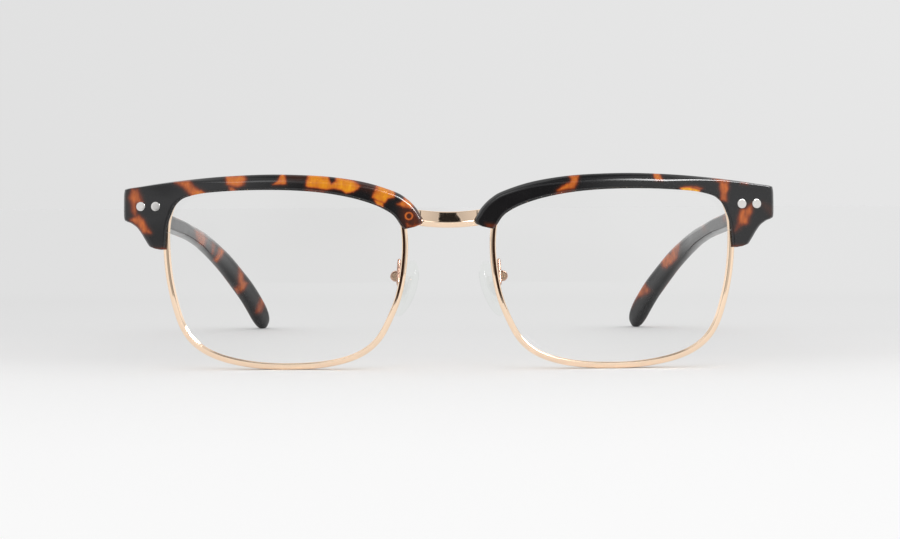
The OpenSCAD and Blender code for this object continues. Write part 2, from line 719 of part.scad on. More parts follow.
bridge_bar();  // bridge
rim_left();
rim_right();
lens_left();
lens_right();
brow_left();
brow_right();
rivets_left();
rivets_right();
brow_screws_left();
brow_screws_right();
closing_block_upper_left();
closing_block_upper_right();
closing_block_lower_left();
closing_block_lower_right();
closing_screw_left();
closing_screw_right();
brow_hinge_left();
brow_hinge_right();
hinge_screw_left();
hinge_screw_right();
temple_hinge_left();
temple_hinge_right();
temple_left();
temple_right();
temple_core_left();
temple_core_right();
pad_arm_left();
pad_arm_right();
nose_pad_left();
nose_pad_right();
pad_insert_left();
pad_insert_right();
pad_screw_left();
pad_screw_right();
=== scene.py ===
"""Browline reading glasses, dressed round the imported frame, in the order in which they are put together."""
import bmesh
import bpy
import numpy as np
from mathutils import Euler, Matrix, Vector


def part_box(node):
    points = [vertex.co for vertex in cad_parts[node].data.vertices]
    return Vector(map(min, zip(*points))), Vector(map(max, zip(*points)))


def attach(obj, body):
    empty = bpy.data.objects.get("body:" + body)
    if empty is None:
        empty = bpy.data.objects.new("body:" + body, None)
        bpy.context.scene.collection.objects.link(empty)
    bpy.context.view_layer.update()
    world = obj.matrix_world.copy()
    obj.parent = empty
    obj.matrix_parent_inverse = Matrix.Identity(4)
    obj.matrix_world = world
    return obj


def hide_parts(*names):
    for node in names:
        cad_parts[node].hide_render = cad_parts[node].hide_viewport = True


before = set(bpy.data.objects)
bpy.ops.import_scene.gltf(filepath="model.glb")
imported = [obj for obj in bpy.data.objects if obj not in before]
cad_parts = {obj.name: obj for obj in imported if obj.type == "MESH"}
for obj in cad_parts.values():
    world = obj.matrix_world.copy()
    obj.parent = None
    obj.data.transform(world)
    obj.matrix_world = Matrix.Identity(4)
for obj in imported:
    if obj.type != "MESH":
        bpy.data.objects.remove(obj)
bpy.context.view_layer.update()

# ------------------------------------------------------------
# Eyewires: a grooved rose-gold wire bent round each lens and split behind the outer end of the
# brow. Sizes are in millimetres and X, Y, Z as in the record, with the frame's front near Y = 0.
# ------------------------------------------------------------
lens_w, lens_h, nose_gap = 51.4, 38.2, 20.6
front_radius = 170.0
wire_t, wire_d = 1.35, 2.2
groove_d, groove_half = 0.75, 0.55
half_d = wire_d / 2
eye_x, eye_z = (nose_gap + lens_w) / 2, wire_t + lens_h / 2
# The front bends round a sphere, whose foremost point lies 12 mm nearer the nose than the lens's middle
wrap_x = eye_x - 12
split_at, split_gap = 0.3, 0.08
pivot_y = 10.65
screw_low, screw_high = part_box("hinge_screw_right")
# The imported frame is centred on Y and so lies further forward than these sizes: the hinge screw's two
# sides, in metres, tell by how much
forward = pivot_y - 500 * (screw_low.y + screw_high.y)

# The lens opening's edge about its middle, from the outer side over the top to the nose and back below
outline = np.array([
    [25.68, 8.07], [25.3, 12.97], [23.6, 16.77], [19.5, 18.32], [13, 18.92], [5, 19.12],
    [-3, 18.97], [-10, 18.37], [-16.5, 17.07], [-22, 15.17], [-24.9, 12.57], [-25.7, 8.57],
    [-25.55, 3.07], [-24.5, -3.43], [-22.4, -9.03], [-19.6, -13.83], [-15.2, -16.93],
    [-8.5, -18.63], [-0.2, -19.12], [7.5, -18.68], [14.5, -17.13], [19.3, -14.53],
    [22.2, -10.73], [24, -5.13], [25.2, 1.07]])
turns = len(outline)


def curve(rows, places, closed=False):
    """Catmull-Rom: between two rows the value is the cubic that meets both with their neighbours' slope."""
    rows = np.asarray(rows, float)
    places = np.asarray(places, float)
    i = np.floor(places).astype(int)
    t = (places - i)[:, None]
    n = len(rows)
    a, b, c, d = (rows[(i + k) % n if closed else np.clip(i + k, 0, n - 1)] for k in (-1, 0, 1, 2))
    return 0.5 * (2 * b + (c - a) * t + (2 * a - 5 * b + 4 * c - d) * t ** 2 + (3 * b - a - 3 * c + d) * t ** 3)


def sag(x, z):
    """How far the front sphere lies behind its foremost point: its radius less the root of the rest."""
    return front_radius - np.sqrt(front_radius ** 2 - (x - wrap_x) ** 2 - (z - eye_z) ** 2)


# Waves that repeat more than about 40 times in a turn are damped, which smooths the cubics' joints
fine = 8192
fine_places = np.arange(fine) * turns / fine
spectrum = np.fft.fft(curve(outline, fine_places, True), axis=0)
waves = np.abs(np.fft.fftfreq(fine, 1 / fine))[:, None]
damped = np.fft.ifft(spectrum * np.exp(-(waves / 40) ** 2), axis=0)
opening_line = np.real(damped) + [eye_x, eye_z]
slope_line = np.roll(opening_line, -1, 0) - np.roll(opening_line, 1, 0)
slope_line /= np.linalg.norm(slope_line, axis=1)[:, None]
outward_line = np.stack([slope_line[:, 1], -slope_line[:, 0]], 1)


def around(places, off):
    """A point of the opening's edge, moved out by `off` along the edge's normal."""
    places = np.asarray(places, float) % turns
    table = np.concatenate([opening_line, outward_line], 1)
    at = [np.interp(places, fine_places, table[:, k], period=turns) for k in range(4)]
    return np.stack([at[0] + at[2] * off, at[1] + at[3] * off], -1)


def at_depth(p, back):
    """The point (x, z) placed `back` behind the front sphere."""
    return np.stack([p[..., 0], sag(p[..., 0], p[..., 1]) + back, p[..., 1]], -1)


def rounded(rings, radii, steps=5, fill=0):
    """Each corner of a ring becomes a quadratic arc that begins and ends one radius along its sides,
    or at most 0.45 of a side, and `fill` points are added evenly on the side after it."""
    n, m, _ = rings.shape
    radii = np.broadcast_to(radii, (n, m))
    fill = np.broadcast_to(fill, m)
    before, after = np.roll(rings, 1, 1) - rings, np.roll(rings, -1, 1) - rings
    start = rings + before * np.minimum(radii / np.linalg.norm(before, axis=2), 0.45)[..., None]
    end = rings + after * np.minimum(radii / np.linalg.norm(after, axis=2), 0.45)[..., None]
    points = []
    for j in range(m):
        for t in np.linspace(0, 1, steps):
            points.append((1 - t) ** 2 * start[:, j] + 2 * t * (1 - t) * rings[:, j] + t * t * end[:, j])
        for t in np.arange(1, fill[j] + 1) / (fill[j] + 1):
            points.append((1 - t) * end[:, j] + t * start[:, (j + 1) % m])
    return np.stack(points, 1)


def inset(rings, depths):
    """Each ring drawn in by its depth, along the normal of its outline in its own plane."""
    centre = rings.mean(1, keepdims=True)
    spoke = rings - centre
    facing = np.cross(spoke, np.roll(spoke, -1, 1)).sum(1, keepdims=True)
    facing /= np.linalg.norm(facing, axis=2, keepdims=True)
    along = np.roll(rings, -1, 1) - np.roll(rings, 1, 1)
    inwards = np.cross(facing, along)
    inwards /= np.maximum(np.linalg.norm(inwards, axis=2, keepdims=True), 1e-9)
    return rings + inwards * np.asarray(depths)[:, None, None]


sharp_edge = np.radians(42)


def new_piece(name, points, side, body, material, node, faces=None):
    """A mesh from points in millimetres, which rides on the body and replaces the node. Points in rings take
    the faces between them. The left-hand one is the mirror image, with its faces turned round."""
    faces = faces or strip_faces(*points.shape[:2])
    points = points.reshape(-1, 3) + [0, -forward, 0]
    if side == "left":
        points = points * [-1, 1, 1]
        faces = [face[::-1] for face in faces]
    mesh = bpy.data.meshes.new(name)
    mesh.from_pydata(points / 1000, [], faces)
    mesh.validate()
    mesh.update()
    mesh.shade_smooth()
    mesh.set_sharp_from_angle(angle=sharp_edge)
    piece = bpy.data.objects.new(name, mesh)
    bpy.context.scene.collection.objects.link(piece)
    mesh.materials.append(material)
    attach(piece, body)
    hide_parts(node)
    return piece


def strip_faces(n, m, first=0):
    """Quads between `n` rings of `m` points, and a face over each end. Points count from `first`."""
    i = first + np.arange(n - 1)[:, None] * m
    j = np.arange(m)
    here, ahead = i + j, i + (j + 1) % m
    quads = np.stack([here, here + m, ahead + m, ahead], -1).reshape(-1, 4).tolist()
    return quads + [(first + j).tolist(), (first + (n - 1) * m + j[::-1]).tolist()]


def new_material(name):
    """A material with its Principled shader, ready for nodes."""
    material = bpy.data.materials.new(name)
    material.use_nodes = True
    return material, material.node_tree, material.node_tree.nodes["Principled BSDF"]


def add_node(tree, kind, links=(), **values):
    """A node whose sockets are set or linked by name. `links` pairs a socket's name with what feeds it."""
    node = tree.nodes.new("ShaderNode" + kind)
    for key, value in values.items():
        setattr(node, key, value)
    for socket, source in links:
        if hasattr(source, "is_output"):
            tree.links.new(source, node.inputs[socket])
        else:
            node.inputs[socket].default_value = source
    return node


def ramp(tree, value, stops):
    """The colour of a value on a ramp with the stops (place, colour)."""
    node = add_node(tree, "ValToRGB", [("Fac", value)])
    marks = node.color_ramp.elements
    marks[0].position, marks[0].color = stops[0][0], (*stops[0][1], 1)
    marks[1].position, marks[1].color = stops[-1][0], (*stops[-1][1], 1)
    for place, colour in stops[1:-1]:
        marks.new(place).color = (*colour, 1)
    return node.outputs["Color"]


def rescale(tree, value, low, high, to_low, to_high):
    """Carries low..high to to_low..to_high, and holds the value at both ends."""
    return add_node(tree, "MapRange", [("Value", value), ("From Min", low), ("From Max", high),
        ("To Min", to_low), ("To Max", to_high)]).outputs["Result"]


def metal(name, colour, rough_low, rough_high, grain, bump):
    """Polished metal: fine noise varies the roughness between two values and lifts a faint grain."""
    material, tree, shader = new_material(name)
    shader.inputs["Base Color"].default_value = (*colour, 1)
    shader.inputs["Metallic"].default_value = 1
    place = add_node(tree, "TexCoord").outputs["Object"]
    noise = add_node(tree, "TexNoise", [("Vector", place), ("Scale", grain), ("Detail", 3.0)])
    polish = rescale(tree, noise.outputs["Fac"], 0.3, 0.7, rough_low, rough_high)
    tree.links.new(polish, shader.inputs["Roughness"])
    lift = add_node(tree, "Bump", [("Height", noise.outputs["Fac"]), ("Strength", bump),
        ("Distance", 0.00002)])
    tree.links.new(lift.outputs["Normal"], shader.inputs["Normal"])
    return material


rose_gold = metal("rose_gold_plate", (1.0, 0.77, 0.575), 0.03, 0.08, 2500.0, 0.06)

half_split = split_gap / 2 / np.linalg.norm(np.diff(around([split_at - 0.5, split_at + 0.5], 0), axis=0))
wire_places = np.linspace(split_at + half_split, split_at + turns - half_split, 420)
# Corners of the wire's section: how far out from the opening, how far behind the front sphere, and rounding.
# The front has a narrow inner bevel, a flat that leans in a little, and one that leans out and is rounded off
wire_corners = [(groove_d, 0, 0.1), (0, groove_half, 0.08), (0, half_d, 0.18), (wire_t, half_d, 0.35),
    (wire_t, 0.04 - half_d, 0.36), (0.74, -half_d - 0.03, 0.06), (0.17, 0.03 - half_d, 0.04),
    (0, 0.2 - half_d, 0.05), (0, -groove_half, 0.08)]
wire_rings = np.stack([at_depth(around(wire_places, off), back) for off, back, _ in wire_corners], 1)
wire_rings = rounded(wire_rings, [corner[2] for corner in wire_corners], 5, [0, 0, 0, 0, 3, 3, 1, 0, 0])
for side in ("left", "right"):
    new_piece("eyewire_" + side, wire_rings, side, "front", rose_gold, "rim_" + side)

# ------------------------------------------------------------
# Lenses: clear photochromic resin in its faded state, with a steep front face, a flatter back
# and a bevelled edge that sits in the eyewire's groove.
# ------------------------------------------------------------
lens_centre, lens_back, power_radius = 2.4, 0.9, 113.0
rebate_fit = 0.12
lens_tilt = np.array([eye_x - wrap_x, -np.sqrt(front_radius ** 2 - (eye_x - wrap_x) ** 2), 0]) / front_radius
lens_origin = np.array([wrap_x, front_radius, eye_z])
power_middle = lens_origin + lens_tilt * (front_radius + lens_centre - lens_back - power_radius)


def ball_front(p, middle, radius):
    """The front of a ball over (x, z): its middle's Y less the root of the radius squared less the offsets
    squared."""
    return middle[1] - np.sqrt(radius ** 2 - (p[..., 0] - middle[0]) ** 2 - (p[..., 1] - middle[2]) ** 2)


lens_points = 240
lens_places = split_at + np.arange(lens_points) * turns / lens_points
bevel_out, bevel_half = groove_d - 0.13, 0.5
front_off = np.full(lens_points, -rebate_fit)
for _ in range(6):
    edge = around(lens_places, front_off)
    ahead = ball_front(edge, power_middle, power_radius) - sag(edge[:, 0], edge[:, 1])
    front_off = np.clip(-rebate_fit + (ahead + bevel_half) / bevel_half * (bevel_out + rebate_fit),
        -rebate_fit, 0.5)
middle = np.array([eye_x, eye_z])
lens_rows = []
lens_reaches = np.append(np.linspace(0.02, 0.95, 13), [0.99, 1])
for reach in lens_reaches:
    p = middle + (around(lens_places, front_off) - middle) * reach
    lens_rows.append(np.stack([p[:, 0], ball_front(p, power_middle, power_radius), p[:, 1]], 1))
lens_rows.append(at_depth(around(lens_places, bevel_out), 0))
lens_rows.append(at_depth(around(lens_places, -rebate_fit), bevel_half))
for reach in lens_reaches[::-1]:
    p = middle + (around(lens_places, -rebate_fit) - middle) * reach
    lens_rows.append(np.stack([p[:, 0], ball_front(p, lens_origin, front_radius - lens_back), p[:, 1]], 1))
lens_rows = np.stack(lens_rows)


def clear_plastic(name, index, roughness, scale, low, high):
    """Clear plastic without refraction. Faces turned to the viewer mirror the Fresnel share for the index, and
    all faces tint the light that passes, between two values that fine noise chooses from."""
    material = bpy.data.materials.new(name)
    material.use_nodes = True
    tree = material.node_tree
    tree.nodes.remove(tree.nodes["Principled BSDF"])
    place = add_node(tree, "TexCoord").outputs["Object"]
    cloud = add_node(tree, "TexNoise", [("Vector", place), ("Scale", scale)])
    tint = ramp(tree, cloud.outputs["Fac"], [(0.2, low), (0.8, high)])
    passing = add_node(tree, "BsdfTransparent", [("Color", tint)])
    gloss = add_node(tree, "BsdfGlossy", [("Roughness", roughness)])
    fresnel = add_node(tree, "Fresnel", [("IOR", index)])
    inside = add_node(tree, "NewGeometry").outputs["Backfacing"]
    facing = add_node(tree, "Math", [(0, 1.0), (1, inside)], operation="SUBTRACT")
    share = add_node(tree, "Math", [(0, fresnel.outputs["Fac"]), (1, facing.outputs["Value"])],
        operation="MULTIPLY")
    both = add_node(tree, "MixShader", [(0, share.outputs["Value"]), (1, passing.outputs["BSDF"]),
        (2, gloss.outputs["BSDF"])])
    tree.links.new(both.outputs["Shader"], tree.nodes["Material Output"].inputs["Surface"])
    return material


lens_resin = clear_plastic("clear_lens_resin", 1.33, 0.0, 60.0, (0.996, 0.998, 0.996), (0.998, 0.998, 0.997))
for side in ("left", "right"):
    new_piece("reading_lens_" + side, lens_rows, side, "front", lens_resin, "lens_" + side)

# ------------------------------------------------------------
# Bridge: one rose-gold bar with a ridge along its front, brazed to both eyewires. Its ends run
# flat behind the brows, where the screws hold them.
# ------------------------------------------------------------
bridge_h, bridge_dip, bridge_arch, bridge_d = 3.5, 1.0, 0.8, 2.0
wall_gap, seat = 0.1, 0.05
bridge_front = -half_d - wall_gap + 0.6 + seat
bridge_z = eye_z + 13.1
bridge_top, bridge_low = bridge_h * 0.56, bridge_h * 0.44
nose_line = around(np.linspace(13, 9.75, 200), wire_t)


def nose_side(z):
    """X of the eyewire's outer edge beside the nose, at a height."""
    return np.interp(z, nose_line[:, 1], nose_line[:, 0])


def ease(t):
    """Smooth step: three times the square less twice the cube, held between 0 and 1."""
    t = np.clip(t, 0, 1)
    return t * t * (3 - 2 * t)


bridge_places = np.linspace(1, -1, 101)
ridge = -bridge_arch * np.maximum(0, 1 - (bridge_places / 0.62) ** 2)
facet = 1 - ease((np.abs(bridge_places) - 0.69) / 0.11)
lug_top = bridge_top - 0.6 * (1 - facet)
same = 0 * facet
bridge_corners = [(-0.26 * bridge_low + same, ridge), (-bridge_low + same, ridge + 0.6 * facet),
    (-bridge_low + same, bridge_d + same), (lug_top, bridge_d + same), (lug_top, ridge + 1.2 * facet),
    (0.4 * bridge_top + same, ridge + 0.55 * facet)]
bridge_rings = []
for up, back in bridge_corners:
    z = bridge_z - bridge_dip * (1 - bridge_places ** 2) + up
    reach = np.where(np.abs(bridge_places) > 0.97, nose_side(z) - 0.1, nose_side(bridge_z))
    x = bridge_places * reach
    bridge_rings.append(np.stack([x, sag(np.maximum(np.abs(x), 6.4), z) + bridge_front + back, z], 1))
bridge_rings = rounded(np.stack(bridge_rings, 1), [0.1, 0.22, 0.3, 0.3, 0.2, 1.2], 5, [3, 1, 1, 1, 3, 3])
new_piece("bridge_bar", bridge_rings, "middle", "front", rose_gold, "bridge")

# ------------------------------------------------------------
# Brows: moulded tortoiseshell plastic that covers the top of each eyewire, bevelled along its
# upper edge, with a deep lobe at the outer end that takes the rivets and the hinge plate.
# ------------------------------------------------------------
brow_wall, brow_d, bevel_w, bevel_d = 1.2, 4.1, 1.4, 1.0
# Place along the eyewire, cover of its front, outer edge (x, z), extra rebate and depth kept
brow_rows = np.array([
    [-0.29, -0.75, 29.5, 6.45, 0.6, 1], [-0.2, -0.7, 30.15, 6.75, 1.4, 1],
    [0.1, -0.5, 31.15, 8.25, 1.9, 1], [0.35, -0.4, 32.0, 9.6, 1.9, 1],
    [0.6, -0.25, 33.0, 10.85, 1.9, 1], [0.85, -0.1, 34.3, 11.75, 1.5, 1],
    [1.05, 0, 35.4, 12.2, 0.8, 1], [1.2, 0.1, 35.95, 12.9, 0.3, 1],
    [1.5, 0.2, 36.05, 16, 0, 1], [1.8, 0.3, 35.95, 18.75, 0, 1],
    [2, 0.35, 35.3, 19.45, 0, 1], [2.3, 0.3, 32, 19.95, 0, 1],
    [2.7, 0.3, 27.5, 20.6, 0, 1], [3.2, 0.25, 21.5, 21.3, 0, 1],
    [4, 0.2, 14, 21.95, 0, 1], [5, 0.15, 5, 22.35, 0, 1],
    [6, 0.2, -3, 22.25, 0, 1], [7, 0.3, -10.5, 21.75, 0, 1],
    [8, 0.35, -18, 20.5, 0, 0.9], [9, 0.5, -24.2, 18.5, 0, 0.45],
    [9.5, 0.4, -26.9, 16.9, 0, 0.1], [10, 0.25, -28.8, 15, 0, 0],
    [10.25, 0.1, -29.8, 13.4, 0, 0], [10.4, -0.1, -30.4, 12.3, 0, 0],
    [10.52, -0.35, -30.1, 11.4, 0, 0], [10.6, -0.6, -29.2, 11, 0, 0]])
end_face = 9.2
wall = -half_d - wall_gap
face_off = wall - brow_wall
rivet_x, rivet_z, rivet_gap = eye_x + 30.25, eye_z + 15.5, 3.4
plate_t, barrel_h = 1.0, 6.0


def towards(a, b):
    """Unit vectors from a to b."""
    return (b - a) / np.linalg.norm(b - a, axis=-1, keepdims=True)


def brow_back(p):
    """Y of the back: parallel to the front along the brow, easing to one flat plane at the outer end."""
    s = ease((p[:, 0] - eye_x - 16) / 9)
    return (1 - s) * (sag(p[:, 0], p[:, 1]) + face_off + brow_d) + s * end_face


# Rings are closer together where the outline turns, at the outer end and at the nose
brow_places = np.concatenate([np.linspace(0, 12, 200)[:-1], np.linspace(12, 19, 150)[:-1],
    np.linspace(19, 25, 90)])
rows = curve(brow_rows, brow_places)
lip = around(rows[:, 0], -rows[:, 1])
root = around(rows[:, 0], wire_t + rebate_fit + np.maximum(rows[:, 4], 0))
edge = np.array([eye_x, eye_z]) + rows[:, 2:4]
across = towards(root, edge)
keep = np.clip(rows[:, 5], 0, 1)


def back_of(p):
    """Y of the brow's back, which thins to a plain lip beside the nose."""
    return keep * brow_back(p) + (1 - keep) * (sag(p[:, 0], p[:, 1]) + wall + 0.6)


def upright(p, y):
    """The points (x, z) placed at depths y."""
    return np.stack([p[:, 0], y, p[:, 1]], 1)


# The bevel is widest over the middle of the brow and narrows towards both ends
bevel = bevel_w * np.interp(rows[:, 2], [-30, -20, -5, 12, 19, 24, 36],
    [0.35, 0.6, 1, 1, 0.75, 0.55, 0.45])[:, None]
crest, shoulder = edge - across * bevel, edge - across * bevel * 0.3
shelf, inner = edge - across * 0.45, root + across * 0.3
brow_rings = np.stack([at_depth(root, wall), at_depth(lip, wall), at_depth(lip, face_off + 0.5),
    at_depth(lip + towards(lip, edge) * 0.45, face_off), at_depth(crest, face_off),
    at_depth(shoulder, face_off + bevel_d * 0.6), at_depth(edge, face_off + bevel_d),
    upright(edge, back_of(edge) - 0.35), upright(shelf, back_of(shelf)),
    upright(inner, back_of(inner)), upright(root, back_of(root) - 0.25)], 1)
brow_rings = rounded(brow_rings, [0.15, 0.12, 0.14, 0.14, 0.5, 0.4, 0.3, 0.2, 0.2, 0.15, 0.15], 5,
    [3, 1, 1, 22, 3, 2, 10, 1, 8, 1, 5])


def with_rounded_ends(rings, radius, steps=4):
    """Adds rings that draw in over the last `radius` of each end, along a quarter of a circle."""
    turn = np.linspace(0, np.pi / 2, steps + 1)[1:]
    caps = []
    for end, beside in ((0, 1), (-1, -2)):
        back = rings[beside].mean(0) - rings[end].mean(0)
        back /= np.linalg.norm(back)
        cap = inset(np.repeat(rings[end][None], steps, 0), radius * (1 - np.cos(turn)))
        caps.append(cap - back * (radius * np.sin(turn))[:, None, None])
    return np.concatenate([caps[0][::-1], rings, caps[1]])


# The rings run from the nose outwards, so that the faces look out
brow_body = with_rounded_ends(brow_rings, 0.22)[::-1]


def box_cutter(name, low, high, side):
    """A box in millimetres, for cutting a recess out of a piece. It is deleted after the cut."""
    corners = np.array([[x, y, z] for z in (low[2], high[2]) for y in (low[1], high[1])
        for x in (low[0], high[0])])
    faces = [[0, 2, 3, 1], [4, 5, 7, 6], [0, 1, 5, 4], [2, 6, 7, 3], [0, 4, 6, 2], [1, 3, 7, 5]]
    corners = corners + [0, -forward, 0]
    if side == "left":
        corners, faces = corners * [-1, 1, 1], [face[::-1] for face in faces]
    mesh = bpy.data.meshes.new(name)
    mesh.from_pydata(corners / 1000, [], faces)
    cutter = bpy.data.objects.new(name, mesh)
    bpy.context.scene.collection.objects.link(cutter)
    return cutter


def cut(piece, cutters):
    """Cuts the boxes out of the piece, and keeps the result as its own mesh. Where a corner is left on the
    middle of a straight edge, a face without area joins the two sides."""
    for cutter in cutters:
        step = piece.modifiers.new("recess", "BOOLEAN")
        step.operation, step.solver, step.object = "DIFFERENCE", "EXACT", cutter
    scene_now = bpy.context.evaluated_depsgraph_get()
    made = bpy.data.meshes.new_from_object(piece.evaluated_get(scene_now))
    piece.modifiers.clear()
    old, piece.data = piece.data, made
    bpy.data.meshes.remove(old)
    for cutter in cutters:
        bpy.data.objects.remove(cutter)
    joined = bmesh.new()
    joined.from_mesh(made)
    bmesh.ops.holes_fill(joined, edges=joined.edges, sides=0)
    joined.to_mesh(made)
    joined.free()
    made.shade_smooth()
    made.set_sharp_from_angle(angle=sharp_edge)


# The shell pattern, with a few lines of painted light, drawn on the front plane: tone, softness of its outline,
# and outline (x, z)
brow_patches = [
    (0.55, 0.5, [(-69.0, 39.6), (-68.0, 39.6), (-67.4, 38.2), (-67.1, 37.0), (-68.2, 36.7), (-68.4, 35.5),
        (-68.5, 34.1), (-69.0, 35.0), (-69.1, 36.5), (-69.7, 37.8)]),
    (0.6, 0.4, [(-69.4, 33.0), (-67.8, 34.0), (-66.8, 33.0), (-65.8, 31.2), (-65.2, 30.2), (-66.9, 30.2),
        (-68.0, 32.0)]),
    (0.6, 0.5, [(-59.6, 41.3), (-56.7, 41.4), (-55.7, 40.2), (-54.2, 39.2), (-52.6, 38.3), (-55.5, 37.7),
        (-56.7, 38.9), (-57.7, 40.2)]),
    (0.8, 0.4, [(-55.7, 38.9), (-54.2, 39.2), (-52.9, 38.2), (-55.3, 37.7)]),
    (0.68, 0.4, [(-48.6, 42.6), (-44.6, 42.5), (-44.3, 41.8), (-44.8, 40.6), (-46.3, 40.2), (-48.3, 40.8),
        (-48.5, 41.8)]),
    (0.5, 0.3, [(-47.8, 40.1), (-47.2, 40.0), (-46.3, 39.2), (-47.6, 38.9)]),
    (0.7, 0.2, [(-36.4, 43.0), (-35.5, 43.0), (-35.5, 40.7), (-38.3, 40.6), (-37.2, 41.4), (-36.8, 42.3)]),
    (1.0, 0.25, [(-30.9, 42.7), (-26.4, 42.5), (-26.1, 41.4), (-25.6, 40.6), (-24.6, 41.2), (-24.5, 42.1),
        (-20.7, 41.4), (-19.9, 40.9), (-19.1, 40.3), (-19.9, 39.5), (-20.9, 39.0), (-22.3, 38.7),
        (-23.4, 39.4), (-25.2, 39.7), (-26.5, 39.5), (-30.8, 40.1), (-31.1, 40.3)]),
    (0.3, 0.3, [(-31.2, 39.7), (-27.0, 39.2), (-27.2, 38.8), (-31.4, 39.0)]),
    (0.95, 0.25, [(-15.8, 40.4), (-12.2, 39.3), (-11.8, 38.4), (-12.0, 37.7), (-13.3, 37.5), (-14.0, 36.6),
        (-15.4, 37.0), (-16.6, 37.7), (-16.3, 38.8)]),
    (0.85, 0.2, [(-16.2, 37.1), (-14.3, 36.5), (-14.4, 35.7), (-15.6, 36.1)]),
    (0.85, 0.3, [(-11.1, 36.2), (-9.8, 37.0), (-9.6, 37.6), (-8.2, 36.8), (-7.8, 35.7), (-8.4, 35.1),
        (-10.2, 35.7)]),
    (0.22, 0.8, [(-10.2, 35.1), (-7.7, 35.5), (-6.4, 34.8), (-5.1, 32.8), (-6.4, 31.3), (-9.5, 31.0),
        (-10.0, 33.0)]),
    # The next three thin red-brown lines, along the bottom edge of each lobe and of the right brow's nose end,
    # are painted light: the plastic's edge glowing where light comes through it
    (0.26, 0.12, [(-65.3, 26.95), (-61.6, 26.95), (-61.6, 26.2), (-65.3, 26.2)]),
    (0.24, 0.12, [(61.8, 26.95), (65.3, 26.95), (65.3, 26.2), (61.8, 26.2)]),
    (0.26, 0.15, [(8.0, 31.9), (10.6, 31.7), (10.6, 30.9), (8.2, 31.1)]),
    (0.5, 0.3, [(-9.3, 32.0), (-7.9, 31.4), (-6.4, 31.8), (-5.9, 32.2), (-6.2, 31.3), (-9.1, 31.2)]),
    (0.17, 0.6, [(-20.8, 41.5), (-15.6, 40.4), (-16.2, 38.8), (-19.0, 39.9)]),
    (0.17, 0.6, [(-35.6, 42.9), (-30.9, 42.6), (-31.0, 41.8), (-35.4, 42.0)]),
    (0.68, 0.3, [(26.2, 42.3), (28.4, 42.3), (28.1, 40.9), (27.4, 39.5), (25.7, 39.3), (23.8, 39.0),
        (25.2, 40.1), (26.6, 40.8), (26.8, 41.5)]),
    (0.3, 0.4, [(23.8, 38.9), (27.0, 39.2), (26.8, 38.7), (23.6, 37.8), (23.2, 38.0)]),
    (0.72, 0.2, [(44.7, 42.7), (46.0, 42.6), (46.6, 41.2), (45.3, 41.3), (44.9, 41.9)]),
    (1.25, 0.2, [(50.6, 39.4), (52.1, 39.6), (53.6, 39.3), (54.8, 38.9), (54.7, 38.1), (52.5, 38.3),
        (51.2, 38.7)]),
    (0.5, 0.2, [(51.4, 39.7), (53.9, 39.8), (55.4, 39.3), (54.8, 39.0), (53.7, 39.4)]),
    (0.62, 0.3, [(59.3, 40.6), (60.9, 40.5), (61.0, 39.2), (60.6, 38.3), (60.6, 36.6), (59.5, 36.8),
        (59.6, 38.3), (59.3, 39.3)]),
    (0.5, 0.3, [(57.6, 41.6), (61.1, 41.1), (61.1, 40.5), (58.8, 40.8)]),
    (0.55, 0.35, [(65.0, 34.8), (66.2, 35.9), (66.1, 34.2), (65.6, 33.2), (65.3, 31.7), (63.2, 31.1),
        (63.3, 32.8), (63.9, 34.6)]),
    (0.35, 0.4, [(62.9, 31.3), (64.2, 31.6), (63.5, 30.6), (62.5, 30.0)]),
    (0.17, 0.5, [(68.6, 35.9), (69.5, 35.5), (70.5, 34.8), (70.4, 33.7), (69.5, 34.6)]),
    (0.4, 0.2, [(63.7, 40.9), (65.3, 40.6), (65.2, 40.1), (64.0, 40.3)])]


def depth_inside(p, polygon):
    """Distance from each point to the polygon's nearest side, counted positive inside it. A point is
    inside where a line from it crosses the sides an odd number of times."""
    a = np.array(polygon, float)
    b = np.roll(a, -1, 0)
    run = b - a
    gap = p[:, None] - a
    t = np.clip((gap * run).sum(2) / (run ** 2).sum(1), 0, 1)
    far = np.linalg.norm(gap - t[..., None] * run, axis=2).min(1)
    spans = (a[:, 1] > p[:, None, 1]) != (b[:, 1] > p[:, None, 1])
    rise = np.where(run[:, 1] == 0, 1e-9, run[:, 1])
    crossing = p[:, None, 0] < a[:, 0] + gap[..., 1] / rise * run[:, 0]
    return np.where((spans & crossing).sum(1) % 2 == 1, far, -far)


def patch_tone(p, patches):
    """The amber tone at points (x, z): each patch is laid over the ones before it, fades across its softness and
    leaves a dark red fringe round itself."""
    tone = np.zeros(len(p))
    for strength, soft, polygon in patches:
        depth = depth_inside(p, polygon)
        tone = np.maximum(tone, min(0.22, 0.4 * strength) * ease(1 + depth / (0.5 + 1.6 * soft)))
        tone += (strength - tone) * ease(0.5 + depth / (3 * soft))
    return tone


# Where the camera stands
eye = np.array([0, -400, 35.84])


def on_front_plane(p):
    """Where the line from the eye in front of the nose to each point crosses the front plane, as (x, z)."""
    hit = eye + (p - eye) * (eye[1] / (eye[1] - p[:, 1:2]))
    return hit[:, [0, 2]]


# The tone that is stored as 1
amber_full = 1.3


def give_tone(piece, tone_at):
    """Stores the tone of every point, worked out from its place in millimetres, as the attribute `amber`."""
    mesh = piece.data
    place = np.empty(len(mesh.vertices) * 3)
    mesh.vertices.foreach_get("co", place)
    place = place.reshape(-1, 3) * 1000 + [0, forward, 0]
    layer = mesh.attributes.get("amber") or mesh.attributes.new("amber", "FLOAT", "POINT")
    layer.data.foreach_set("value", np.asarray(tone_at(place) / amber_full, np.float32))


nose_screw = (-8.7, 33.6)


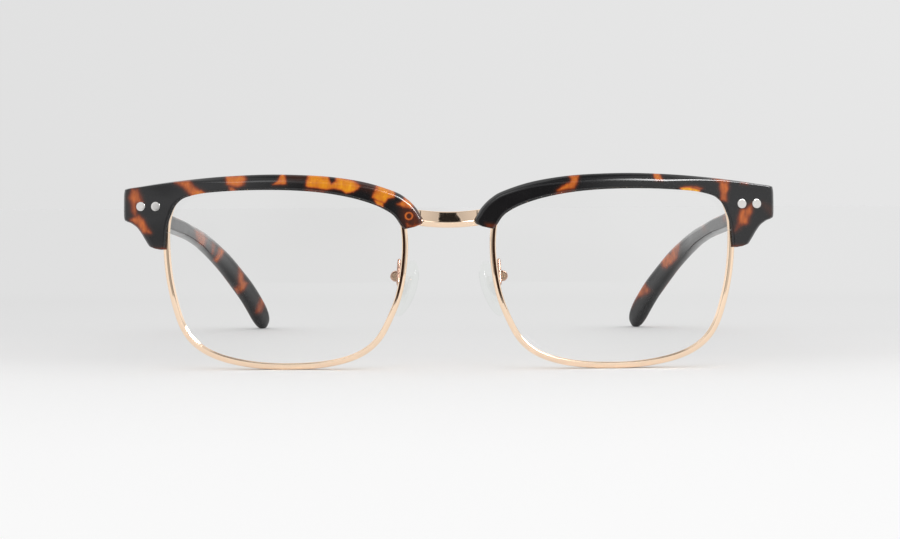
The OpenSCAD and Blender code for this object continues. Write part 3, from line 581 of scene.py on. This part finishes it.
def brow_tone(place):
    """The pattern goes through the plastic, so the front plane's tone is used at every depth. The hole of
    the nose screw shows through the amber as a thin ring."""
    p = on_front_plane(place)
    tone = patch_tone(p, brow_patches)
    ring = np.abs(np.linalg.norm(p - nose_screw, axis=1) - 0.74)
    near_face = place[:, 1] < sag(np.abs(place[:, 0]), place[:, 2]) + face_off + 0.7
    return np.where(near_face, tone + (0.66 - tone) * ease(1.3 - ring / 0.22), tone)


def shell_plastic(name, index, rough_low, rough_high):
    """Tortoiseshell plastic: the amber tone, varied by cloudy noise, picks a colour from black through red to
    amber. Fine noise varies the polish between two values of roughness."""
    material, tree, shader = new_material(name)
    amber = add_node(tree, "Attribute", attribute_name="amber").outputs["Fac"]
    place = add_node(tree, "TexCoord").outputs["Object"]
    drawn_out = add_node(tree, "Mapping", [("Vector", place), ("Scale", (2.4, 1.0, 0.8))])
    cloud = add_node(tree, "TexNoise", [("Vector", drawn_out.outputs["Vector"]), ("Scale", 400.0),
        ("Detail", 4.0), ("Roughness", 0.6)])
    vary = rescale(tree, cloud.outputs["Fac"], 0.3, 0.7, 0.7, 1.16)
    level = add_node(tree, "Math", [(0, amber), (1, vary)], operation="MULTIPLY")
    colour = ramp(tree, level.outputs["Value"],
        [(0.0, (0.0105, 0.0105, 0.0115)), (0.12, (0.045, 0.016, 0.011)), (0.23, (0.16, 0.028, 0.009)),
            (0.46, (0.56, 0.13, 0.022)), (0.77, (0.80, 0.28, 0.013)), (0.97, (1.0, 0.5, 0.02))])
    tree.links.new(colour, shader.inputs["Base Color"])
    shader.inputs["IOR"].default_value = index
    smear = add_node(tree, "TexNoise", [("Vector", place), ("Scale", 180.0), ("Detail", 2.0)])
    polish = rescale(tree, smear.outputs["Fac"], 0.3, 0.7, rough_low, rough_high)
    tree.links.new(polish, shader.inputs["Roughness"])
    bump = add_node(tree, "Bump", [("Height", smear.outputs["Fac"]), ("Strength", 0.015),
        ("Distance", 0.0001)])
    tree.links.new(bump.outputs["Normal"], shader.inputs["Normal"])
    return material


brow_shell = shell_plastic("tortoiseshell_brow", 1.49, 0.12, 0.17)
for side in ("left", "right"):
    brow = new_piece("brow_cover_" + side, brow_body, side, "front", brow_shell, "brow_" + side)
    cut(brow, [box_cutter("plate_recess", (rivet_x - rivet_gap / 2 - 1.25 - seat, end_face - plate_t,
        rivet_z - barrel_h / 2 - 0.1 - seat), (rivet_x + rivet_gap / 2 + 1.85 + seat, end_face + 3,
        rivet_z + barrel_h / 2 + 0.1 + seat), side)])
    give_tone(brow, brow_tone)

# ------------------------------------------------------------
# Rivets: two bright steel rivets through each outer end, with flat heads on the front, a shank
# that steps down at the hinge plate and a peened tail behind it.
# ------------------------------------------------------------
rivet_r = 1.0
steel_bright = metal("bright_steel", (0.72, 0.705, 0.69), 0.1, 0.18, 1500.0, 0.04)


def turned(profile, middle, points=40):
    """A turned shape about a line along Y: the profile's (radius, y) carried round the middle (x, z)."""
    turn = np.arange(points) * 2 * np.pi / points
    ring = np.stack([np.cos(turn), 0 * turn, np.sin(turn)], 1)
    return np.stack([ring * r + [middle[0], y, middle[1]] for r, y in profile])


def add_part(points, faces, rings):
    """Adds rings of points, and the faces between them, to a piece that has more than one part."""
    faces += strip_faces(*rings.shape[:2], first=sum(len(p) for p in points))
    points.append(rings.reshape(-1, 3))


# The heads are filed to the slope of the brow's face, and stand a tenth of a millimetre proud of it
rivet_head = [(0.05, -0.1), (0.5, -0.1), (0.95, -0.1), (0.98, -0.098), (rivet_r, -0.08), (rivet_r, 0.4)]
rivet_tail = [(rivet_r, end_face - plate_t), (0.7, end_face - plate_t), (0.7, end_face - 0.18),
    (0.62, end_face - 0.1), (0.05, end_face - 0.1)]
rivet_points, rivet_faces = [], []
for step in (-0.5, 0.5):
    middle = (rivet_x + step * rivet_gap, rivet_z)
    head = turned(rivet_head, middle)
    head[..., 1] += sag(head[..., 0], head[..., 2]) + face_off
    add_part(rivet_points, rivet_faces, np.concatenate([head, turned(rivet_tail, middle)]))
for side in ("left", "right"):
    new_piece("front_rivets_" + side, np.concatenate(rivet_points), side,
        "front", steel_bright, "rivets_" + side, rivet_faces)

# ------------------------------------------------------------
# Screws, hinges and closing blocks: small turned and stamped metal parts. Their solids have the
# right shape already, so they keep it and take their finishes here.
# ------------------------------------------------------------
steel_satin = metal("satin_steel", (0.56, 0.55, 0.54), 0.26, 0.4, 900.0, 0.25)
block_gold = metal("rose_gold_plate_small_parts", (0.96, 0.7, 0.5), 0.16, 0.28, 1800.0, 0.2)
core_steel = metal("drawn_core_wire", (0.5, 0.49, 0.48), 0.3, 0.45, 600.0, 0.2)


def refinish(node, finish):
    """Gives a solid of the frame its finish, in all its material slots."""
    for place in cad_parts[node].material_slots:
        place.material = finish


for side in ("left", "right"):
    for node, finish in (("brow_screws_", steel_bright), ("closing_block_upper_", block_gold),
            ("closing_block_lower_", block_gold), ("closing_screw_", steel_bright), ("brow_hinge_", steel_satin),
            ("hinge_screw_", steel_bright), ("temple_hinge_", steel_satin), ("temple_core_", core_steel),
            ("pad_screw_", block_gold)):
        refinish(node + side, finish)

# ------------------------------------------------------------
# Temples: cut from tortoiseshell plastic round a steel wire, nearly straight to the ear, then
# bent down and curled in to a broad rounded tip. A recess on the inside holds the hinge leaf.
# ------------------------------------------------------------
temple_reach, temple_h_front, temple_h_slim, temple_h_tip = 130.0, 6.8, 3.4, 6.5
temple_t_front, temple_t_tip, toe_in, tip_curl = 4.2, 3.2, 3.0, 10.0
bend_y, temple_fall = 81.0, 1.06069
leaf_t, leaf_l = 1.0, 9.0
brow_reach, brow_overhang = 36, 0.4
temple_y0 = end_face + seat
temple_x = eye_x + brow_reach - brow_overhang - temple_t_front / 2
leaf_x = temple_x - temple_t_front / 2
# Distance back, fall, share of the height at the front and share of the height at the tip
temple_rows = np.array([
    [0, 0, 1, 0], [12, 1.5, 0.47, 0], [28, 3.4, 0.03, 0], [45, 4.9, 0, 0], [57, 6, 0, 0.05],
    [69, 7.3, 0, 0.18], [81, 8.9, 0, 0.35], [93, 11.4, 0, 0.52], [105, 15.5, 0, 0.74],
    [117, 21.9, 0, 0.92], [124, 27.2, 0, 0.98], [130, 33.2, 0, 1]])


def temple_line(places):
    """Middle of the temple, its thickness and its height, at places along its rows."""
    r = curve(temple_rows, places)
    g = np.maximum(r[:, 0] - bend_y, 0) / (130 - bend_y)
    thick = temple_t_front + (temple_t_tip - temple_t_front) * ease(r[:, 0] / 52)
    inner_face = temple_x - temple_t_front / 2 - toe_in * r[:, 0] / bend_y - tip_curl * g * g
    high = temple_h_slim + (temple_h_front - temple_h_slim) * np.maximum(r[:, 2], 0) \
        + (temple_h_tip - temple_h_slim) * np.maximum(r[:, 3], 0)
    middle_line = np.stack([inner_face + thick / 2, temple_y0 + r[:, 0] * temple_reach / 130,
        rivet_z - r[:, 1] * temple_fall], 1)
    return middle_line, thick, high


temple_places = np.concatenate([np.linspace(0, 10, 210)[:-1],
    10 + 0.999 * np.sin(np.linspace(0, np.pi / 2, 26))])
centre, thick, high = temple_line(temple_places)
ahead = temple_line(temple_places + 0.02)[0] - temple_line(temple_places - 0.02)[0]
ahead[0] = [0, 1, 0]
ahead /= np.linalg.norm(ahead, axis=1)[:, None]
aside = np.stack([ahead[:, 1], -ahead[:, 0], 0 * ahead[:, 0]], 1)
aside /= np.linalg.norm(aside, axis=1)[:, None]
up = np.cross(aside, ahead)
tip = np.maximum(temple_places - 10.1, 0) / 0.9
half_high = high / 2 * (1 - np.minimum(tip, 1) ** 2.3) ** (1 / 2.3)
half_thick = thick / 2 * (1 - np.minimum(tip, 1) ** 3) ** (1 / 3)
temple_rings = np.stack([centre + aside * (sx * half_thick)[:, None] + up * (sz * half_high)[:, None]
    for sx, sz in ((1, -1), (1, 1), (-1, 1), (-1, -1))], 1)
# The edges are crisp along the straight part and well rounded past the ear
corner_r = 0.4 + 1.1 * ease((temple_places - 3) / 2.2) + 0.5 * ease(1 - temple_places / 0.8)
corner_r = np.minimum(0.66 * half_high, corner_r)
inner_r = corner_r + 1.2 * ease((temple_places - 2) / 2)
temple_body = rounded(temple_rings, np.stack([corner_r, corner_r, corner_r, inner_r], 1), 7, [7, 4, 9, 2])
turn = np.linspace(np.pi / 2, 0, 5)[:, None]
front_rings = inset(np.repeat(temple_body[:1], 5, 0), 0.3 * (1 - np.cos(turn[:, 0])))
front_rings[..., 1] = temple_y0 + 0.3 * (1 - np.sin(turn))
temple_body = np.concatenate([front_rings, temple_body[2:]])
# The tips rest on the table, so nothing goes below it
temple_body[..., 2] = np.maximum(temple_body[..., 2], 0)

temple_patches = [
    (0.5, 0.3, [(-55.4, 30.7), (-53.8, 30.4), (-52.9, 28.9), (-53.4, 27.4), (-54.5, 27.7), (-55.0, 28.9)]),
    (0.42, 0.3, [(-51.7, 28.1), (-51.1, 27.6), (-51.3, 25.4), (-51.8, 25.5), (-51.8, 26.9)]),
    (0.58, 0.3, [(-50.2, 27.0), (-49.1, 26.1), (-49.8, 24.9), (-50.8, 23.8), (-51.4, 24.1), (-50.6, 25.4)]),
    (0.52, 0.35, [(-45.8, 22.6), (-45.1, 21.1), (-44.9, 19.6), (-44.1, 19.1), (-44.8, 17.8), (-46.4, 16.7),
        (-47.0, 17.8), (-45.9, 18.8), (-46.1, 20.3)]),
    (0.45, 0.35, [(-41.2, 15.9), (-40.0, 15.4), (-40.4, 14.4), (-41.2, 12.7), (-42.3, 12.6), (-41.8, 14.2)]),
    (0.55, 0.35, [(50.7, 28.4), (50.3, 27.5), (50.1, 25.9), (49.7, 24.1), (48.7, 23.0), (47.4, 22.1),
        (46.8, 22.2), (46.4, 23.6), (46.8, 24.3), (47.8, 25.0), (48.4, 25.1), (48.7, 25.9), (48.5, 26.4),
        (49.4, 27.3)]),
    (0.5, 0.4, [(42.4, 19.5), (43.1, 17.9), (43.9, 17.1), (42.9, 16.3), (41.6, 15.9), (40.6, 15.0),
        (39.7, 13.6), (39.2, 13.5), (39.6, 15.7), (40.6, 17.3)]),
    (0.28, 0.25, [(55.1, 31.4), (55.9, 31.6), (56.1, 30.2), (55.7, 29.9)]),
    (0.4, 0.2, [(59.9, 33.5), (60.5, 33.5), (60.3, 32.1), (60.0, 32.1)])]
# Patches on the sides that the front doesn't show: tone, and outline (distance back, height from the
# middle line as a share of half the height)
side_patches = [
    (0.6, [(3, 1.3), (9, 1.3), (12, 0.4), (10, -0.3), (6, 0.1), (2, 0.3)]),
    (0.45, [(5, -0.6), (10, -0.9), (13, -1.4), (4, -1.4)]),
    (0.95, [(18, -0.2), (23, 0.5), (29, 0.3), (31, -0.5), (26, -1.4), (19, -1.4)]),
    (0.5, [(27, 1.4), (34, 1.4), (33, 0.7), (29, 0.6)]),
    (0.7, [(39, 1.4), (46, 1.4), (48, 0.2), (44, -0.6), (40, 0.1)]),
    (0.55, [(50, -0.3), (55, 0.0), (58, -1.4), (51, -1.4)]),
    (1.0, [(61, 1.4), (68, 1.4), (71, 0.4), (67, -0.4), (62, -0.1)]),
    (0.45, [(73, -0.2), (79, 0.1), (82, -1.4), (75, -1.4)]),
    (0.6, [(84, 1.4), (91, 1.4), (90, 0.1), (86, -0.2)]),
    (0.8, [(97, 0.6), (103, 0.9), (107, -0.2), (103, -0.9), (98, -0.4)]),
    (0.5, [(109, -0.5), (113, -0.2), (114, -1.4), (108, -1.4)]),
    (0.65, [(112, 1.4), (118, 1.4), (119, 0.5), (114, 0.3)]),
    (0.55, [(121, 0.2), (126, 0.5), (127, -0.5), (123, -0.8)])]


def temple_tone(place):
    """Inner and lower faces take the front plane's pattern, and the outer and upper faces their own.
    The two fade into each other over the rounded edges."""
    x = np.abs(place[:, 0])
    share = np.interp(place[:, 1], centre[:, 1], np.arange(len(centre)))
    at = np.clip(np.round(share).astype(int), 0, len(centre) - 1)
    gap = np.stack([x, place[:, 1], place[:, 2]], 1) - centre[at]
    out = (gap * aside[at]).sum(1) / np.maximum(half_thick[at], 0.4)
    high_up = (gap * up[at]).sum(1) / np.maximum(half_high[at], 0.4)
    back = place[:, 1] - temple_y0
    flip = np.where(place[:, 0] < 0, 4.0, 0.0)
    sides = np.stack([back + flip + 1.5 * high_up, 2.0 * high_up], 1)
    hidden = patch_tone(sides, [(tone, 0.9, [(a, 2.0 * b) for a, b in shape]) for tone, shape in side_patches])
    shown = patch_tone(on_front_plane(place), temple_patches)
    seen = ease((0.75 - out) / 0.5) * ease((1.0 - high_up) / 0.25)
    return seen * shown + (1 - seen) * hidden


temple_shell = shell_plastic("tortoiseshell_temple", 1.3, 0.1, 0.18)
for side in ("left", "right"):
    temple = new_piece("temple_arm_" + side, temple_body, side, "temple_" + side, temple_shell,
        "temple_" + side)
    cut(temple, [
        box_cutter("leaf_recess", (leaf_x - 2, pivot_y - 2.5, rivet_z - 1.9 - seat),
            (leaf_x + leaf_t + seat, pivot_y - 0.2 + leaf_l + seat, rivet_z + 0.7 + seat), side),
        box_cutter("leaf_root_recess", (leaf_x - 2, pivot_y - 2.6, rivet_z - 1.91 - seat),
            (leaf_x + leaf_t + seat + 0.001, pivot_y - 0.2 + leaf_l * 0.45 + seat, rivet_z + 1.9 + seat), side)])
    give_tone(temple, temple_tone)

# ------------------------------------------------------------
# Pad arms: a rose-gold wire brazed behind each eyewire, which hooks up and over to a small
# slotted box. The pad's tab swings in the slot on a short screw.
# ------------------------------------------------------------
pad_pivot = np.array([eye_x - 24.15, 7.2, eye_z - 0.25])
pad_tilt, pad_splay = np.radians(17), np.radians(27)
arm_r, box_r, box_d, tab_slot = 0.38, 1.2, 2.4, 0.9
foot = around([12.9], 0.55)[0]
arm_path = np.array([
    [foot[0], sag(*foot) + half_d + 0.01, foot[1]], [foot[0] + 0.1, 3.1, foot[1] + 0.9],
    [foot[0] + 0.45, 4.5, foot[1] + 1.4], pad_pivot + [-0.8, -1.4, 3.4], pad_pivot + [-0.9, -0.8, 2.2],
    pad_pivot + [-0.7, -0.7, 0.9]])


def tube(path, radius, points=20):
    """A round wire: a circle of the radius carried along the path, square to it."""
    along = np.gradient(path, axis=0)
    along /= np.linalg.norm(along, axis=1)[:, None]
    first = np.cross([1.0, 0, 0], along)
    first /= np.linalg.norm(first, axis=1)[:, None]
    second = np.cross(first, along)
    turn = np.arange(points) * 2 * np.pi / points
    return path[:, None] + radius * (first[:, None] * np.cos(turn)[:, None]
        + second[:, None] * np.sin(turn)[:, None])


arm_points, arm_faces = [], []
add_part(arm_points, arm_faces, tube(curve(arm_path, np.linspace(0, 5, 70)), arm_r))
for low, top in ((pad_pivot[1] - box_d / 2, pad_pivot[1] - tab_slot / 2),
        (pad_pivot[1] + tab_slot / 2, pad_pivot[1] + box_d / 2)):
    # Each half of the box: a dished front face with a rounded rim, and a flat back
    add_part(arm_points, arm_faces, turned([(0.05, low + 0.1), (box_r - 0.42, low + 0.1),
        (box_r - 0.36, low + 0.02), (box_r - 0.22, low), (box_r - 0.06, low + 0.06), (box_r, low + 0.22),
        (box_r, top - 0.12), (box_r - 0.1, top), (0.05, top)], (pad_pivot[0], pad_pivot[2])))
# A web on the side away from the nose joins the two halves
web_turn = np.linspace(-0.75, 0.75, 14)
web = np.stack([np.stack([pad_pivot[0] + r * np.cos(web_turn), y + 0 * web_turn,
    pad_pivot[2] + r * np.sin(web_turn)], 1) for r, y in (
    (1.0, pad_pivot[1] + 0.6), (box_r - 0.02, pad_pivot[1] + 0.6), (box_r - 0.02, pad_pivot[1] - 0.6),
    (1.0, pad_pivot[1] - 0.6))], 1)
add_part(arm_points, arm_faces, web)
# The arm's rose gold is a darker copy of the eyewires' plate, which paints shade on it
arm_gold_painted_shade = metal("rose_gold_plate_pad_arm_painted_shade", (0.62, 0.41, 0.32), 0.2, 0.36, 2500.0, 0.25)
for side in ("left", "right"):
    new_piece("pad_wire_" + side, np.concatenate(arm_points), side,
        "front", arm_gold_painted_shade, "pad_arm_" + side, arm_faces)

# ------------------------------------------------------------
# Nose pads: soft clear silicone, moulded over a clear plastic insert whose tab hangs in the
# arm's box. The face that rests on the nose is crowned and the back is flat.
# ------------------------------------------------------------
pad_l, pad_w, pad_t, pad_off, pad_drop = 13.0, 7.0, 2.6, 2.5, 2.1


def on_pad(p):
    """Pad points turned by the splay about Z and then by the tilt about Y, and moved to the pivot."""
    x, y, z = p[..., 0], p[..., 1], p[..., 2]
    x, y = x * np.cos(pad_splay) + y * np.sin(pad_splay), y * np.cos(pad_splay) - x * np.sin(pad_splay)
    x, z = x * np.cos(pad_tilt) - z * np.sin(pad_tilt), z * np.cos(pad_tilt) + x * np.sin(pad_tilt)
    return np.stack([x, y, z], -1) + pad_pivot


pad_turn = np.arange(56) * 2 * np.pi / 56
pad_layers = np.array([[0.05, 0], [0.5, 0], [0.8, 0.02], [0.93, 0.12], [0.985, 0.35], [1, 0.75], [0.97, 1.15],
    [0.92, 1.5], [0.8, 1.95], [0.62, 2.28], [0.4, 2.5], [0.2, 2.58], [0.05, 2.6]])
layers = curve(pad_layers, np.linspace(0, 12, 37))
size = layers[:, :1]
# Seen from the nose a pad is an egg: half its width grows and then falls off towards the narrower top
half_w = pad_w / 2 * (1 + 0.14 * np.sin(pad_turn)) * np.where(np.sin(pad_turn) < 0, 1,
    1 - 0.06 * np.abs(np.sin(pad_turn)))
pad_rings = on_pad(np.stack([-layers[:, 1:] * pad_t / 2.6 + 0 * half_w - pad_off,
    size * half_w * np.cos(pad_turn),
    size * pad_l / 2 * np.sin(pad_turn) * (0.9 + 0.1 * size) - pad_drop], -1))

silicone = clear_plastic("clear_silicone", 1.28, 0.06, 300.0, (0.98, 0.99, 0.98), (0.99, 0.995, 0.99))
for side in ("left", "right"):
    new_piece("silicone_pad_" + side, pad_rings, side, "pad_" + side, silicone, "nose_pad_" + side)

insert_plastic = clear_plastic("clear_insert_plastic", 1.15, 0.12, 500.0, (0.985, 0.988, 0.985),
    (0.993, 0.993, 0.99))
for side in ("left", "right"):
    refinish("pad_insert_" + side, insert_plastic)

# ------------------------------------------------------------
# The table: a plain pale sheet, with painted light that makes it brighter in front of the glasses than behind
# them.
# ------------------------------------------------------------
table_mesh = bpy.data.meshes.new("table")
front_edge, back_edge, half_width = -0.36, 30.0, 30.0
table_mesh.from_pydata([(-half_width, front_edge, 0), (half_width, front_edge, 0), (half_width, back_edge, 0),
    (-half_width, back_edge, 0)], [], [(0, 1, 2, 3)])
table = bpy.data.objects.new("table", table_mesh)
bpy.context.scene.collection.objects.link(table)
paper, paper_tree, paper_shader = new_material("table_paper")
paper_place = add_node(paper_tree, "TexCoord").outputs["Object"]
paper_axes = add_node(paper_tree, "SeparateXYZ", [("Vector", paper_place)])
paper_reach = rescale(paper_tree, paper_axes.outputs["Y"], -0.2 - forward / 1000, 0.4 - forward / 1000, 0.0, 1.0)


def grey(level):
    """Linear light of a display grey out of 255: ((level + 0.055) / 1.055) to the power 2.4."""
    light = ((level / 255 + 0.055) / 1.055) ** 2.4
    return (light, light, light)


def vector_math(tree, operation, first, second):
    """A Vector Math node, fed with two sockets."""
    return add_node(tree, "VectorMath", [(0, first), (1, second)], operation=operation).outputs["Vector"]


# Distance back in millimetres, and grey: painted light makes the sheet darken towards the back, and slightly
# lighter far behind
painted_light_greys = [(-200, 252.5), (-130, 251.3), (-64, 248), (-25, 246.5), (-10, 245), (11, 242), (38, 236),
    (62, 233.5), (126, 229.5), (295, 227), (380, 228.5)]
paper_colour_and_painted_light = ramp(paper_tree, paper_reach, [((y + 200) / 600, grey(level)) for y, level in painted_light_greys])
# Painted light: the sheet is a little darker on the left than on the right
painted_side_light = rescale(paper_tree, paper_axes.outputs["X"], -0.15, 0.15, 0.975, 1.02)
paper_colour_and_painted_light = vector_math(paper_tree, "MULTIPLY", paper_colour_and_painted_light, painted_side_light)
paper_tree.links.new(paper_colour_and_painted_light, paper_shader.inputs["Base Color"])
paper_shader.inputs["Roughness"].default_value = 0.95
paper_shader.inputs["Specular IOR Level"].default_value = 0.0
table_mesh.materials.append(paper)

# ------------------------------------------------------------
# Light: an even pale room for the diffuse light, and for reflections the same room with a dark
# gap round the camera, pale walls at both sides and a strip of light high on the right.
# ------------------------------------------------------------
world = bpy.data.worlds.new("studio")
bpy.context.scene.world = world
world.use_nodes = True
sky = world.node_tree
sky_out = sky.nodes["Background"]
direction = add_node(sky, "TexCoord").outputs["Generated"]
axes = add_node(sky, "SeparateXYZ", [("Vector", direction)])


def math(operation, first, second=None, third=None):
    """A Math node of the sky, fed with sockets or numbers."""
    given = [(k, v) for k, v in enumerate((first, second, third)) if v is not None]
    return add_node(sky, "Math", given, operation=operation).outputs["Value"]


# An angle in degrees that no direction reaches
always = 200.0


def band(value, low, low_full, high_full, high):
    """1 between low_full and high_full degrees, fading to 0 at low and high."""
    rise = rescale(sky, value, low, low_full, 0.0, 1.0)
    drop = rescale(sky, value, high_full, high, 1.0, 0.0)
    for end in (rise, drop):
        end.node.interpolation_type = "SMOOTHSTEP"
    return math("MULTIPLY", rise, drop)


def within(value, low, low_full):
    """1 above low_full degrees, fading to 0 at low."""
    return band(value, low, low_full, always, always + 10.0)


to_degrees = 57.29578
across_sky = math("MULTIPLY", math("ARCTAN2", axes.outputs["X"], math("MULTIPLY", axes.outputs["Y"], -1.0)),
    to_degrees)
aside_sky = math("ABSOLUTE", across_sky)
height_sky = math("MULTIPLY", math("ARCSINE", axes.outputs["Z"]), to_degrees)
# The dark gap narrows upwards, and a dim patch stands low on the left
narrowing = math("MULTIPLY_ADD", math("MAXIMUM", math("SUBTRACT", height_sky, 3.0), 0.0), 0.06, 1.0)
from_gap = math("MULTIPLY", math("ABSOLUTE", math("ADD", across_sky, 2.0)), narrowing)
walls = ramp(sky, math("DIVIDE", from_gap, 90.0),
    [(0.0, (0.03, 0.016, 0.012)), (8 / 90, (0.04, 0.024, 0.018)), (12 / 90, (0.08, 0.065, 0.055)),
        (15 / 90, (0.2, 0.19, 0.18)), (23 / 90, (0.5, 0.5, 0.5)), (26 / 90, (0.7, 0.7, 0.7)),
        (35 / 90, (0.95, 0.95, 0.95)), (1.0, (1.0, 1.0, 1.0))])
dim = math("MULTIPLY", band(across_sky, -38.0, -36.0, -33.0, -28.0), band(height_sky, 1.0, 5.0, 8.0, 13.0))
walls = vector_math(sky, "MULTIPLY", walls, math("MULTIPLY_ADD", dim, -0.8, 1.0))
# Above the walls: a pale panel that is brighter to the sides, with a dark window in its middle, then darkness
panel = rescale(sky, aside_sky, 13.0, 40.0, 0.56, 0.75)
over = math("SUBTRACT", height_sky, 59.0)
from_right = math("MULTIPLY_ADD", over, 0.36, across_sky)
from_left = math("MULTIPLY_ADD", over, 0.075, across_sky)
window, frame_light = (math("MULTIPLY", math("MULTIPLY", band(from_right, -200.0, -190.0, right, right + 0.9),
    band(from_left, left - 0.9, left, 190.0, 200.0)), band(height_sky, 48.0, 49.0, top, top + 0.6))
    for left, right, top in ((-12.0, 12.4, 66.0), (-13.8, 14.2, 67.0)))
panel = math("MULTIPLY_ADD", frame_light, 0.1, panel)
panel = math("MAXIMUM", math("MULTIPLY_ADD", window, -0.8, panel), 0.02)
low_ceiling = math("MULTIPLY", band(height_sky, -10.0, 0.0, 46.0, 48.0), 0.6)
ceiling = math("MULTIPLY_ADD", panel, band(height_sky, 46.0, 48.0, 70.0, 73.0), low_ceiling)
ceiling = math("MULTIPLY_ADD", within(height_sky, 70.0, 73.0), 0.15, ceiling)
above = math("MULTIPLY", within(height_sky, 16.0, 26.0), math("SUBTRACT", 1.0, within(aside_sky, 60.0, 90.0)))
# A bright strip of light stands high on the right, and a faint one on the left
strip_height = band(height_sky, 27.0, 31.0, 46.0, 51.0)
right_strip = math("MULTIPLY", strip_height, band(across_sky, 11.0, 32.0, 60.0, 85.0))
left_strip = math("MULTIPLY", strip_height, band(across_sky, -34.0, -27.0, -20.0, -12.0))
strips = math("MULTIPLY_ADD", right_strip, 26.0, math("MULTIPLY", left_strip, 2.2))
room = add_node(sky, "Mix", [("Factor", above), ("A", walls), ("B", ceiling)],
    data_type="RGBA").outputs["Result"]
room = vector_math(sky, "ADD", room, strips)

rays = add_node(sky, "LightPath")
# The backdrop behind the table, with painted light: a shade lighter upwards, and darker on the left than on the
# right
backdrop_painted_light = ramp(sky, math("MULTIPLY", axes.outputs["Z"], 8.0),
    [(0.0, grey(228)), (0.45, grey(228.5)), (1.0, grey(229))])
backdrop_painted_light = vector_math(sky, "MULTIPLY", backdrop_painted_light, rescale(sky, axes.outputs["X"], -0.24, 0.24, 0.965, 1.02))
glossy_mix = add_node(sky, "Mix", [("Factor", rays.outputs["Is Glossy Ray"]),
    ("A", (0.98, 0.98, 0.98, 1.0)), ("B", room)], data_type="RGBA").outputs["Result"]
seen = math("MAXIMUM", rays.outputs["Is Camera Ray"], rays.outputs["Is Transmission Ray"])
sky_mix = add_node(sky, "Mix", data_type="RGBA")
sky.links.new(seen, sky_mix.inputs["Factor"])
sky.links.new(glossy_mix, sky_mix.inputs["A"])
sky.links.new(backdrop_painted_light, sky_mix.inputs["B"])
sky.links.new(sky_mix.outputs["Result"], sky_out.inputs["Color"])

# ------------------------------------------------------------
# Camera: level with the brows, 400 mm in front of the bridge, pitched two degrees down.
# ------------------------------------------------------------
camera_data = bpy.data.cameras.new("camera")
camera = bpy.data.objects.new("camera", camera_data)
bpy.context.scene.collection.objects.link(camera)
camera.location = (0, (eye[1] - forward) / 1000, eye[2] / 1000)
camera.rotation_euler = Euler((np.radians(88), 0, 0))
camera.rotation_euler.rotate_axis("Z", np.radians(-0.27))
camera_data.sensor_width = 36
camera_data.lens = 73.24
camera_data.shift_x = 1 / 900
camera_data.clip_start, camera_data.clip_end = 0.01, 100
bpy.context.scene.camera = camera
bpy.context.scene.view_settings.view_transform = "Standard"
